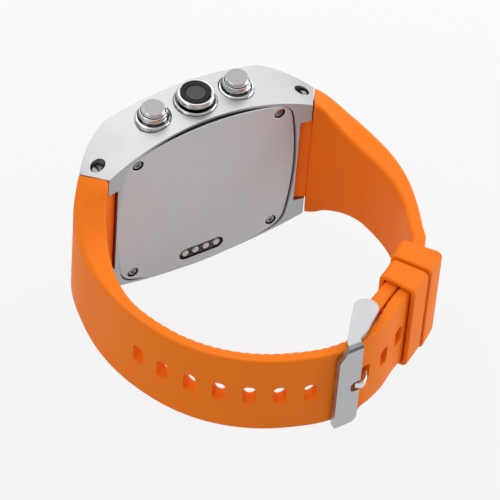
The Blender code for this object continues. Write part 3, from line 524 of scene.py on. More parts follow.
@dataclass(frozen=True)
class Finish:
    """A surface: its colour, how much it varies, its gloss and its fine relief.

    The grain's size is that of one grain along X, Y and Z, the relief its height and the
    mottle the size of the broad clouds of gloss, all in millimetres.
    """

    name: str
    colour: str
    variation: float = 0.03
    roughness: float = 0.4
    roughness_spread: float = 0.05
    metallic: float = 0.0
    grain: tuple[float, float, float] = (0.3, 0.3, 0.3)
    relief: float = 0.002
    mottle: float = 6.0
    specular: float = 0.5
    subsurface: float = 0.0
    transmission: float = 0.0

    def material(self) -> bpy.types.Material:
        """Build the finish as shader nodes.

        Returns:
            The material.
        """
        material = bpy.data.materials.new(self.name)
        material.use_nodes = True
        tree = material.node_tree
        shader = tree.nodes["Principled BSDF"]
        place = add_node(tree, "ShaderNodeTexCoord").outputs["Object"]
        scale = tuple(1 / (size * MM) for size in self.grain)
        stretched = add_node(tree, "ShaderNodeMapping", {"Scale": scale}, {"Vector": place})
        grain = add_node(tree, "ShaderNodeTexNoise", {"Scale": 1.0, "Detail": 3.0, "Roughness": 0.55},
                         {"Vector": stretched.outputs["Vector"]})
        clouds = add_node(tree, "ShaderNodeTexNoise",
                          {"Scale": 1 / (self.mottle * MM), "Detail": 2.0}, {"Vector": place})
        both = add_node(tree, "ShaderNodeMath", {"operation": "ADD"},
                        {0: grain.outputs["Fac"], 1: clouds.outputs["Fac"]})
        red, green, blue, _ = linear(self.colour)
        low, high = (tuple(min(c * share, 1.0) for c in (red, green, blue)) + (1.0,)
                     for share in (1 - self.variation, 1 + self.variation))
        share = add_node(tree, "ShaderNodeMapRange", {"From Min": 0.7, "From Max": 1.3},
                         {"Value": both.outputs["Value"]})
        colour = add_node(tree, "ShaderNodeMix", {"data_type": "RGBA", 6: low, 7: high},
                          {0: share.outputs["Result"]})
        tree.links.new(colour.outputs[2], shader.inputs["Base Color"])
        gloss = add_node(tree, "ShaderNodeMapRange",
                         {"From Min": 0.3, "From Max": 0.7,
                          "To Min": max(self.roughness - self.roughness_spread, 0.01),
                          "To Max": self.roughness + self.roughness_spread},
                         {"Value": clouds.outputs["Fac"]})
        tree.links.new(gloss.outputs["Result"], shader.inputs["Roughness"])
        if self.relief > 0:
            bump = add_node(tree, "ShaderNodeBump", {"Distance": self.relief * MM, "Strength": 1.0},
                            {"Height": grain.outputs["Fac"]})
            tree.links.new(bump.outputs["Normal"], shader.inputs["Normal"])
        shader.inputs["Metallic"].default_value = self.metallic
        shader.inputs["Specular IOR Level"].default_value = self.specular
        shader.inputs["Subsurface Weight"].default_value = self.subsurface
        shader.inputs["Subsurface Scale"].default_value = MM
        shader.inputs["Transmission Weight"].default_value = self.transmission
        return material


class Finishes(Enum):
    """Every finish on the watch."""

    # Stainless steel, bead blasted: an even soft sheen with a grit too fine to see singly.
    SATIN_STEEL = Finish("satin_steel_blasted", "#C6C6C6", 0.02, 0.42, 0.04, 1.0,
                         (0.16, 0.16, 0.16), 0.0012, 9.0)
    # The buckle's sheet steel: blasted after it was stamped and bent, a little darker.
    BUCKLE_STEEL = Finish("stamped_sheet_steel", "#B6B7B9", 0.03, 0.36, 0.05, 1.0,
                          (0.18, 0.18, 0.18), 0.002, 3.0)
    # Stainless steel sheet, brushed along the case: short fine lines, drawn coarser than real.
    BRUSHED_STEEL = Finish("brushed_steel_sheet", "#C9D5DB", 0.05, 0.46, 0.05, 0.35,
                           (2.6, 0.6, 0.16), 0.003, 7.0)
    # The case's back rim and lugs' backs: blasted steel, painted darker and duller as painted shade,
    # since they face away from the light.
    BACK_FACE_SHADED_STEEL = Finish("satin_steel_back_painted_shade", "#AEB8BE", 0.03, 0.4, 0.05, 0.6,
                       (0.18, 0.18, 0.18), 0.0015, 5.0)
    # The outside of the buckle's bends: a painted dark band of shade and dark reflection on the steel.
    BEND_PAINTED_SHADE_STEEL = Finish("bend_painted_dark_band", "#848486", 0.08, 0.4, 0.06, 1.0,
                        (0.3, 0.3, 0.3), 0.002, 3.0)
    # Painted shade and dark reflection on steel: the turned grooves between polished rings, the pushers'
    # tubes and the back plate's edge, painted dark where they lie in shadow.
    SHADE_PAINTED_STEEL = Finish("painted_shade_steel", "#4C4C4E", 0.06, 0.14, 0.04, 1.0,
                          (0.3, 0.3, 0.3), 0.0, 1.0)
    # Turned and polished steel: mirror bright with faint wiping marks.
    POLISHED_STEEL = Finish("polished_steel_turned", "#D8D8D9", 0.01, 0.1, 0.04, 1.0,
                            (0.5, 0.5, 0.5), 0.0, 2.0)
    # The pushers' tops: faced with straight fine lines.
    CAP_STEEL = Finish("pusher_cap_steel", "#9A9A9C", 0.1, 0.36, 0.05, 1.0,
                       (0.14, 1.8, 0.5), 0.004, 1.6)
    # Small screws and pins: turned, with a thin oxide that dulls them.
    SCREW_STEEL = Finish("oxidised_screw_steel", "#8C8C8E", 0.06, 0.24, 0.06, 1.0,
                         (0.2, 0.2, 0.2), 0.002, 0.9)
    # Plated charging contacts, pale and slightly dull from touch, with a faint blue tint painted in to
    # cancel the orange light thrown back from the strap.
    CONTACT = Finish("nickel_plated_contact", "#E2F5FF", 0.02, 0.35, 0.05, 0.0,
                     (0.2, 0.2, 0.2), 0.0008, 1.5)
    # Moulded silicone rubber: matte, slightly translucent, with a fine moulded grain.
    SILICONE = Finish("orange_silicone_moulded", "#FF7F0E", 0.03, 0.55, 0.05, 0.0,
                      (0.22, 0.22, 0.22), 0.003, 8.0, specular=0.18, subsurface=0.1)
    # Seal of soft black rubber.
    SEAL = Finish("seal_rubber_black", "#141414", 0.1, 0.7, 0.05, 0.0, (0.3, 0.3, 0.3), 0.004)
    # Glass-filled nylon of the contact insert.
    INSERT = Finish("moulded_nylon_black", "#101011", 0.1, 0.45, 0.08, 0.0, (0.2, 0.2, 0.2), 0.003)
    # Black back-printed window over the camera, polished.
    WINDOW = Finish("printed_window_black", "#0D0D0E", 0.03, 0.2, 0.03, 0.0,
                    (0.4, 0.4, 0.4), 0.0, 2.0, specular=0.2)
    # The clear middle of the camera window, over a coated lens.
    PUPIL = Finish("coated_lens_grey", "#434345", 0.06, 0.3, 0.05, 0.0,
                   (0.5, 0.5, 0.5), 0.0, 1.5, specular=0.3)
    # Toughened cover glass over a dark screen.
    GLASS = Finish("toughened_glass", "#F2F5F5", 0.005, 0.02, 0.01, 0.0,
                   (1.0, 1.0, 1.0), 0.0, 12.0, transmission=0.96)
    # The screen when off: near black with a faint grid of dots.
    SCREEN = Finish("switched_off_screen", "#0B0B0E", 0.12, 0.25, 0.05, 0.0,
                    (0.25, 0.25, 0.25), 0.0, 3.0)
    # Glass-epoxy board under green solder mask.
    BOARD = Finish("solder_mask_green", "#1C5C34", 0.12, 0.4, 0.08, 0.0, (0.8, 0.8, 0.8), 0.006, 4.0)
    # The battery's laminated foil pouch.
    FOIL = Finish("battery_pouch_foil", "#B9BBBE", 0.04, 0.35, 0.08, 0.8, (1.5, 1.5, 1.5), 0.02, 5.0)
    # Fired ceramic of the antenna patch.
    CERAMIC = Finish("fired_ceramic", "#C9BBA1", 0.05, 0.6, 0.06, 0.0, (0.25, 0.25, 0.25), 0.004, 2.0)
    # Moulded black cases of the electronic parts.
    COMPONENT = Finish("component_case_black", "#1B1B1D", 0.08, 0.5, 0.06, 0.0,
                       (0.2, 0.2, 0.2), 0.003, 2.0)


class Rack:
    """Makes each finish once, when the first piece asks for it."""

    def __init__(self) -> None:
        """Start with no materials made."""
        self.made: dict[Finishes, bpy.types.Material] = {}

    def take(self, finish: Finishes) -> bpy.types.Material:
        """Give the material of a finish.

        Args:
            finish: The finish, from the named ones.

        Returns:
            Its material, made on first use.
        """
        if finish not in self.made:
            self.made[finish] = finish.value.material()
        return self.made[finish]


# ---------------------------------------------------------------- the case


@dataclass
class Case:
    """The metal case, its back plate with screws, and the charging contacts."""

    rack: Rack
    half_width: float = 22.4
    side_radius: float = 57.5
    half_length: float = 28.3
    back_y: float = 0.85
    front_y: float = 12.6
    shoulder_x: float = 18.5
    shoulder_bulge: float = 0.95
    wall: float = 1.9
    lug_back: tuple[float, float] = (24.5, -1.05)
    lug_front_y: float = 5.0
    pin: tuple[float, float] = (24.6, 3.9)
    pin_bore: float = 1.2
    notch_half: float = 12.15
    lug_hole: float = 1.6
    tongue: float = 2.3
    gap: float = 0.3
    back_thick: float = 1.4
    plate_soft: float = 0.26
    plate_grow: float = 0.08
    side_soft: float = 0.28
    cavity_top: float = 10.5
    screen_floor: float = 9.5
    gasket_out: float = 0.95
    gasket_top: float = 0.75
    screw: tuple[float, float] = (17.07, 16.68)
    screw_bore: tuple[float, float] = (0.9, 4.9)
    contact_x: float = -0.3
    contact_z: float = -17.2
    contact_pitch: float = 2.54
    contact_count: int = 4
    contact_radius: float = 0.85
    contact_gap: float = 0.2
    contact_floor: float = 2.2
    insert_half: float = 1.3
    trim_sunk: float = 0.7
    trim_proud: float = 0.5
    trim_wide: float = 1.4
    glass_thick: float = 1.0
    window_half: tuple[float, float] = (12.6, 14.6)
    screen_half: tuple[float, float] = (13.2, 15.2)
    back_plan: Barrel = field(default_factory=lambda: Barrel(21.5, 21.5, 56.6, 85.0, 5.0))
    cavity_plan: Barrel = field(default_factory=lambda: Barrel(20.0, 20.5, 55.6, 85.0, 16.0))
    front_plan: Barrel = field(default_factory=lambda: Barrel(17.6, 21.1, 56.2, 180.0, 3.5))

    def side(self, x: float) -> float:
        """Give how far the curved side lies from the middle plane at x."""
        return self.half_width - self.side_radius + math.sqrt(self.side_radius ** 2 - x * x)

    def lug_face(self, side: int) -> tuple[Vector, Vector]:
        """Give the back and front corner of the face that the strap meets, a gap off it.

        Args:
            side: 1 or -1, the end of the case.

        Returns:
            The corner at the back and the one at the front.
        """
        back, front = Vector(self.lug_back), Vector((self.half_length, self.lug_front_y))
        face = (front - back).normalized()
        off = Vector((face.y, -face.x)) * self.gap
        low, high = (Vector((side * p.x, p.y)) for p in (back + off, front + off))
        return low, high

    def shell(self) -> bmesh.types.BMesh:
        """Draw the solid shape of the case along X.

        Returns:
            The shape before anything is cut out of it.
        """
        start = Vector((self.shoulder_x, self.front_y))
        slope = Vector((self.half_length, self.lug_front_y)) - start
        bulge_way = Vector((-slope.y, slope.x)).normalized()
        chord = slope.length
        radius = chord ** 2 / (8 * self.shoulder_bulge) + self.shoulder_bulge / 2
        front = [(self.shoulder_x * i / 16, self.front_y) for i in range(16)]
        for i in range(29):
            share = i / 28
            rise = math.sqrt(radius ** 2 - (chord * (share - 0.5)) ** 2) - radius
            at = start + slope * share + bulge_way * (rise + self.shoulder_bulge)
            front.append((at.x, at.y))
        lug_x, lug_y = self.lug_back
        before = next(i for i, (x, _) in enumerate(front) if x > lug_x)
        (xa, ya), (xb, yb) = front[before - 1], front[before]
        front.insert(before, (lug_x, ya + (yb - ya) * (lug_x - xa) / (xb - xa)))
        rings: list[Ring] = []
        for x, high in [(-x, y) for x, y in reversed(front[1:])] + front:
            reach, half = abs(x), self.side(x)
            if reach <= lug_x:
                low = self.back_y - (self.back_y - lug_y) * (reach / lug_x) ** 2
            else:
                share = (reach - lug_x) / (self.half_length - lug_x)
                low = lug_y + (self.lug_front_y - 0.08 - lug_y) * share
            rings.append([(x, low, -half), (x, high, -half), (x, high, half), (x, low, half)])
        bm = swept(rings)
        long_edges = [e for e in bm.edges if len(e.link_faces) == 2 and e.calc_face_angle(0.0) > 1.0
                      and abs(e.verts[0].co.x - e.verts[1].co.x) > 1e-3
                      and max(abs(v.co.x) for v in e.verts) < self.half_length + 0.01
                      and (e.verts[0].co.z > 0) == (e.verts[1].co.z > 0)]
        bmesh.ops.bevel(bm, geom=long_edges, offset=self.side_soft, offset_type="OFFSET", affect="EDGES",
                        segments=3, profile=0.5, material=-1, clamp_overlap=True)
        return bm

    def notch(self, side: int) -> bmesh.types.BMesh:
        """Give the room that is cut for the strap's tongue at one end.

        Args:
            side: 1 or -1, the end of the case.

        Returns:
            A closed mesh.
        """
        low, high = self.lug_face(side)
        reach = (high - low).normalized()
        out = Vector((side * abs(reach.y), -abs(reach.x)))
        pin = Vector((side * self.pin[0], self.pin[1]))
        turn = math.degrees(math.atan2(reach.y, reach.x))
        ceiling = arc(pin, self.tongue + self.gap, turn, 180 if side > 0 else 0, 20)
        mouth = Vector(ceiling[0]) + out * 9
        end_x = side * (self.half_length + 6)
        outline = [*ceiling, (ceiling[-1][0], -4.0), (end_x, -4.0), (mouth.x, mouth.y)]
        return slab(outline, -self.notch_half, self.notch_half, Axis.Z)

    def build_case(self, controls: "SideControls") -> bpy.types.Object:
        """Cut the case's rooms and bores and finish it.

        Args:
            controls: The camera and pushers, which give the bores in the side.

        Returns:
            The case.
        """
        bm = self.shell()
        ledge = self.back_thick + self.gap
        floor = self.front_y - self.trim_sunk - self.gap
        tools = [slab(self.back_plan.outline(self.gap - 0.05), -4, ledge, Axis.Y),
                 slab(self.cavity_plan.outline(), ledge - 0.5, self.cavity_top, Axis.Y),
                 slab(self.cavity_plan.outline(self.gasket_out), ledge - 0.4,
                      ledge + self.gasket_top, Axis.Y),
                 slab(self.front_plan.outline(self.gap), floor, self.front_y + 2, Axis.Y),
                 slab(self.front_plan.outline(-3.3), self.screen_floor, floor + 0.5, Axis.Y)]
        for side in (-1, 1):
            tools.append(self.notch(side))
            tools.append(rod(self.lug_hole, -self.half_width, self.half_width,
                             (side * self.pin[0], self.pin[1], 0)))
            bore, deep = self.screw_bore
            for up in (-1, 1):
                at = (side * self.screw[0], 0, up * self.screw[1])
                tools.append(rod(bore, 0, deep, at, Axis.Y, 20))
        tools += controls.bores(self)
        for tool in tools:
            bm = carved(bm, tool, solver="MANIFOLD")

        def on_back(face: bmesh.types.BMFace) -> bool:
            """Tell the back rim's and the lugs' faces that point to the wrist, which take the painted
            shade.
            """
            face.normal_update()
            return face.normal.y < -0.7 and face.calc_center_median().y < 2.0

        # The faces that point to the wrist take a darker, duller copy of the steel: painted shade.
        return finished("mid_case_shell", bm, self.rack.take(Finishes.SATIN_STEEL), "root",
                        ["mid_case"], Edges(0.09, 2),
                        (self.rack.take(Finishes.BACK_FACE_SHADED_STEEL), on_back))

    def build_back(self) -> None:
        """Make the back plate, its four screws, the insert and the contacts."""
        def on_side(face: bmesh.types.BMFace) -> bool:
            """Tell the plate's edge all round, which lies in the shade of the joint and takes painted
            shade.
            """
            face.normal_update()
            return abs(face.normal.y) < 0.25

        bm = slab(self.back_plan.outline(self.plate_grow), 0, self.back_thick, Axis.Y)
        soften(bm, self.plate_soft, 3, 40, lambda at: at.y < 0.1)
        span = self.contact_pitch * (self.contact_count - 1)
        bm = carved(bm, self.stadium(span, self.insert_half + self.gap, -1, self.back_thick + 1))
        count = 0
        for x in (-self.screw[0], self.screw[0]):
            for z in (-self.screw[1], self.screw[1]):
                count += 1
                sink = [(0, -1), (1.42, -1), (1.42, 0), (1.3, 0.14), (1.3, 0.95), (0.9, 0.95),
                        (0.9, 3), (0, 3)]
                bm = carved(bm, turned(sink, (x, 0, z), Axis.Y, 40))
                self.build_screw(count, x, z)
        # The plate's edge takes the dark steel: painted shade in the joint.
        finished("back_plate", bm, self.rack.take(Finishes.BRUSHED_STEEL), "root",
                 ["case_back"], Edges(0.05, 2), (self.rack.take(Finishes.SHADE_PAINTED_STEEL), on_side))
        insert = self.stadium(span, self.insert_half, 0.15, 2.9)
        for i in range(self.contact_count):
            at = (self.contact_x + self.contact_pitch * i - span / 2, 0, self.contact_z)
            insert = carved(insert, rod(self.contact_radius + self.contact_gap, -1,
                                        self.contact_floor, at, Axis.Y, 32))
            profile = [(0, 0.0), (0.5, 0.01), (0.7, 0.05), (0.8, 0.13), (0.85, 0.28),
                       (0.85, 1.9), (0, 1.9)]
            finished(f"contact_{i + 1}", turned(profile, at, Axis.Y, 40),
                     self.rack.take(Finishes.CONTACT), "root",
                     [f"contact_pin_{i + 1}"])
        finished("contact_insert", insert, self.rack.take(Finishes.INSERT), "root",
                 ["contact_block"], Edges(0.08, 2))

    def stadium(self, span: float, half: float, low: float, high: float) -> bmesh.types.BMesh:
        """Give a block with round ends along the row of contacts.

        Args:
            span: The way between the middles of its round ends.
            half: The ends' radius.
            low: Its lower Y.
            high: Its upper Y.

        Returns:
            A closed mesh.
        """
        right = arc((self.contact_x + span / 2, self.contact_z), half, -90, 90, 16)
        left = arc((self.contact_x - span / 2, self.contact_z), half, 90, 270, 16)
        return slab(right + left, low, high, Axis.Y)

    def build_screw(self, number: int, x: float, z: float) -> None:
        """Make one cross-recess screw of the back plate.

        Args:
            number: Its number, from one, which also sets how far its recess is turned.
            x: Its axis's X.
            z: Its axis's Z.
        """
        profile = [(0, 0.25), (0.82, 0.25), (0.95, 0.3), (1.0, 0.4), (1.0, 0.65), (0.6, 0.65),
                   (0.6, 4.6), (0, 4.6)]
        bm = turned(profile, (x, 0, z), Axis.Y, 40)
        turn = Matrix.Translation((x, 0, z)) @ Matrix.Rotation(math.radians(20 + 31 * number), 4, "Y")
        for across in ((0.15, 0.62), (0.62, 0.15)):
            slot = block((-across[0], across[0]), (-0.5, 0.52), (-across[1], across[1]))
            bm = carved(bm, moved(slot, turn))
        finished(f"back_plate_screw_{number}", bm, self.rack.take(Finishes.SCREW_STEEL), "root",
                 [f"back_screw_{number}"], Edges(0.03, 2))

    def build_front(self) -> None:
        """Make the trim ring, the glass with its printed border and the screen."""
        low, top = self.front_y - self.trim_sunk, self.front_y + self.trim_proud
        bm = slab(self.front_plan.outline(), low, top, Axis.Y)
        bm = carved(bm, slab(self.front_plan.outline(-self.trim_wide), 0, 2 * top, Axis.Y))
        finished("front_trim_ring", bm, self.rack.take(Finishes.POLISHED_STEEL), "root",
                 ["front_bezel"], Edges(0.22, 3))
        glass_edge = -self.trim_wide - self.gap
        bm = slab(self.front_plan.outline(glass_edge), low, low + self.glass_thick, Axis.Y)
        finished("front_glass", bm, self.rack.take(Finishes.GLASS), "root",
                 ["cover_glass"], Edges(0.15, 3))
        border = slab(self.front_plan.outline(glass_edge - 0.05), low - 0.12, low - 0.02, Axis.Y)
        window = slab(round_box(*self.window_half, 0.8), 0, 2 * top, Axis.Y)
        border = carved(border, window)
        finished("glass_printed_border", border, self.rack.take(Finishes.WINDOW), "root")
        wide, high = self.screen_half
        bm = block((-wide, wide), (low - 2.5, low - self.gap), (-high, high))
        finished("screen", bm, self.rack.take(Finishes.SCREEN), "root",
                 ["display_panel"], Edges(0.1, 2))

    def build_pin(self, side: int, name: str) -> None:
        """Make one strap pin, with a slotted head at each end.

        Args:
            side: 1 or -1, the end of the case.
            name: The last word of the piece's name, left or right.
        """
        half = self.side(self.pin[0]) - 1.1
        under = half - 2.2
        profile = [(0, -half), (1.15, -half), (1.3, 0.15 - half), (1.3, -under), (0.9, -under),
                   (0.9, under), (1.3, under), (1.3, half - 0.15), (1.15, half), (0, half)]
        at = (side * self.pin[0], self.pin[1], 0)
        bm = turned(profile, at, steps=48)
        for up in (-1, 1):
            ends = sorted((up * (half - 0.6), up * (half + 1)))
            bm = carved(bm, block((at[0] - 0.25, at[0] + 0.25), (at[1] - 2, at[1] + 2), ends))
        finished(f"strap_pin_{name}", bm, self.rack.take(Finishes.SCREW_STEEL), "root",
                 [f"lug_pin_{name}"], Edges(0.04, 2))


@dataclass
class SideControls:
    """The camera in the middle of the side and the two pushers beside it."""

    rack: Rack
    camera_y: float = 6.8
    camera_top: float = 24.9
    flange: float = 4.65
    ring: float = 4.05
    lens: float = 3.27
    barrel: float = 2.3
    button_x: float = 10.03
    button_y: float = 7.0
    button_top: float = 24.8
    cap: float = 2.62
    cap_thick: float = 1.25
    neck: float = 2.2
    stem: float = 1.0
    travel: float = 0.5
    collar: float = 3.82
    tube: float = 2.95
    slide: float = 0.1
    room: tuple[float, float] = (2.6, 13.8)
    sunk: float = 0.5
    proud: float = 0.5
    gap: float = 0.3

    def bores(self, case: Case) -> list[bmesh.types.BMesh]:
        """Give the tools that cut the room for them into the case's side.

        Args:
            case: The case that is cut.

        Returns:
            A closed mesh for each cut.
        """
        tools = []
        wall = case.side(self.button_x)
        for side in (-1, 1):
            at = (side * self.button_x, self.button_y, 0)
            tools.append(rod(self.stem + self.gap, wall - 2 * case.wall, wall + 1, at))
            tools.append(rod(self.collar + self.gap / 2, wall - self.sunk - self.gap, wall + 3,
                             at, steps=64))
            half, low = self.room
            tools.append(block((at[0] - half, at[0] + half), (at[1] - half, at[1] + half),
                               (low, wall - case.wall)))
        wall = case.half_width
        at = (0, self.camera_y, 0)
        tools.append(rod(self.barrel + self.gap, wall - 2 * case.wall, wall + 1, at))
        tools.append(rod(self.flange + self.gap / 2, wall - self.sunk - self.gap, wall + 3,
                         at, steps=64))
        return tools

    def build_camera(self, case: Case) -> None:
        """Make the stepped ring, the printed window and the lens's clear middle.

        Args:
            case: The case it sits in.
        """
        at = (0, self.camera_y, 0)
        low, shelf = case.half_width - self.sunk, case.half_width + self.proud
        top = self.camera_top
        seat = top - 1.0
        bore = self.barrel + self.gap
        groove = self.ring - 0.45
        rim = self.lens + self.gap / 2
        profile = [(bore, low), (self.flange, low), (self.flange, shelf - 0.3),
                   (self.flange - 0.1, shelf - 0.1), (self.flange - 0.3, shelf), (groove, shelf + 0.05),
                   (groove, shelf + 0.5), (self.ring - 0.1, shelf + 0.55), (self.ring, shelf + 0.75),
                   (self.ring, top - 0.32), (self.ring - 0.09, top - 0.1), (self.ring - 0.28, top),
                   (rim + 0.12, top), (rim, top - 0.1), (rim, seat), (bore, seat)]
        # The groove under the upper ring is painted dark: painted shade and dark reflection.
        dark = self.rack.take(Finishes.SHADE_PAINTED_STEEL)

        def in_groove(face: bmesh.types.BMFace) -> bool:
            """Tell the groove between the flange and the upper ring, which takes painted shade.

            Args:
                face: A face of the stepped ring.

            Returns:
                Whether it lies in the groove.
            """
            middle = face.calc_center_median()
            reach = math.hypot(middle.x, middle.y - at[1])
            return shelf - 0.05 < middle.z < shelf + 0.7 and groove - 0.1 < reach < self.ring + 0.1

        finished("camera_stepped_ring", turned(profile, at, steps=96),
                 self.rack.take(Finishes.POLISHED_STEEL), "root",
                 ["camera_ring"], second=(dark, in_groove))
        profile = [(0, seat + 0.3), (self.lens, seat + 0.3), (self.lens, top - 0.22),
                   (self.lens - 0.08, top - 0.14), (2.2, top - 0.14), (2.08, top - 0.24),
                   (0, top - 0.24)]
        finished("camera_window", turned(profile, at, steps=96), self.rack.take(Finishes.WINDOW),
                 "root", ["camera_lens"])
        profile = [(0, top - 0.21), (2.02, top - 0.21), (2.02, top - 0.17), (1.6, top - 0.16),
                   (1.5, top - 0.2), (0.9, top - 0.19), (0, top - 0.16)]
        finished("camera_pupil", turned(profile, at, steps=64), self.rack.take(Finishes.PUPIL),
                 "root")

    def build_button(self, case: Case, side: int, name: str) -> None:
        """Make one pusher and its collar.

        Args:
            case: The case that it stands in.
            side: -1 or 1, its side of the camera.
            name: The end of its name.
        """
        wall = case.side(self.button_x)
        at = (side * self.button_x, self.button_y, 0)
        low, shelf, top = wall - self.sunk, wall + self.proud, self.button_top
        under = top - self.cap_thick
        tube_top, step = under + 0.3, shelf + 0.75
        neck_low = shelf + self.travel
        seat = neck_low - self.travel - self.gap
        bore, throat = self.stem + self.gap, self.cap + self.slide
        profile = [(bore, low), (self.collar, low), (self.collar, shelf - 0.25),
                   (self.collar - 0.08, shelf - 0.06), (self.collar - 0.22, shelf),
                   (self.tube + 0.42, shelf + 0.04), (self.tube + 0.34, shelf + 0.12),
                   (self.tube + 0.1, step), (self.tube, step + 0.06), (self.tube, tube_top - 0.1),
                   (self.tube - 0.06, tube_top - 0.02), (self.tube - 0.12, tube_top),
                   (throat + 0.03, tube_top), (throat, tube_top - 0.03), (throat, seat), (bore, seat)]

        def on_tube(face: bmesh.types.BMFace) -> bool:
            """Tell the collar's lower half, between its flange and its top ring, which takes a painted
            dark band of shade.

            Args:
                face: A face of the collar.

            Returns:
                Whether it lies on the tube.
            """
            middle = face.calc_center_median()
            reach = math.hypot(middle.x - at[0], middle.y - at[1])
            return reach < self.tube + 0.4 and shelf + 0.06 < middle.z < step + 0.02

        # The tube below the pusher's cap is painted dark: painted shade and dark reflection.
        finished(f"pusher_collar_{name}", turned(profile, at, steps=80),
                 self.rack.take(Finishes.POLISHED_STEEL), "root",
                 [f"button_collar_{name}"], second=(self.rack.take(Finishes.SHADE_PAINTED_STEEL), on_tube))
        stem_low = wall - case.wall - 2 * self.gap - 0.9
        profile = [(0, stem_low), (self.stem, stem_low), (self.stem, neck_low), (self.neck, neck_low),
                   (self.neck, under), (self.cap - 0.15, under), (self.cap, under + 0.15),
                   (self.cap, under + 0.5), (self.cap - 0.1, under + 0.58),
                   (self.cap - 0.1, top - 0.3), (self.cap - 0.16, top - 0.13),
                   (self.cap - 0.3, top), (self.cap - 0.34, top), (0, top)]

        def on_top(face: bmesh.types.BMFace) -> bool:
            """Tell the flat top."""
            return face.calc_center_median().z > top - 0.005

        finished(f"pusher_{name}", turned(profile, at, steps=80),
                 self.rack.take(Finishes.POLISHED_STEEL), f"button_{name}",
                 [f"button_{name}"], second=(self.rack.take(Finishes.CAP_STEEL), on_top))


# ---------------------------------------------------------------- the strap


@dataclass
class Clasp:
    """The arc round which the two straps lie on each other under the keepers."""

    centre: tuple[float, float] = (-13.3, 7.2)
    outer: float = 66.9
    start: float = 26.5
    end: float = 41.8
    tail_end: float = 38.4
    bar_radius: float = 63.0
    bar_angle: float = 19.5

    def point(self, radius: float, angle: float) -> Vector:
        """Give a point on an arc about its centre, its angle counted from the -Y axis.

        Args:
            radius: The way from the centre.
            angle: The angle in degrees, towards +X.

        Returns:
            The point.
        """
        turn = math.radians(angle)
        return Vector((self.centre[0] + radius * math.sin(turn),
                       self.centre[1] - radius * math.cos(turn)))

    @property
    def bar(self) -> Vector:
        """The buckle's spring bar."""
        return self.point(self.bar_radius, self.bar_angle)


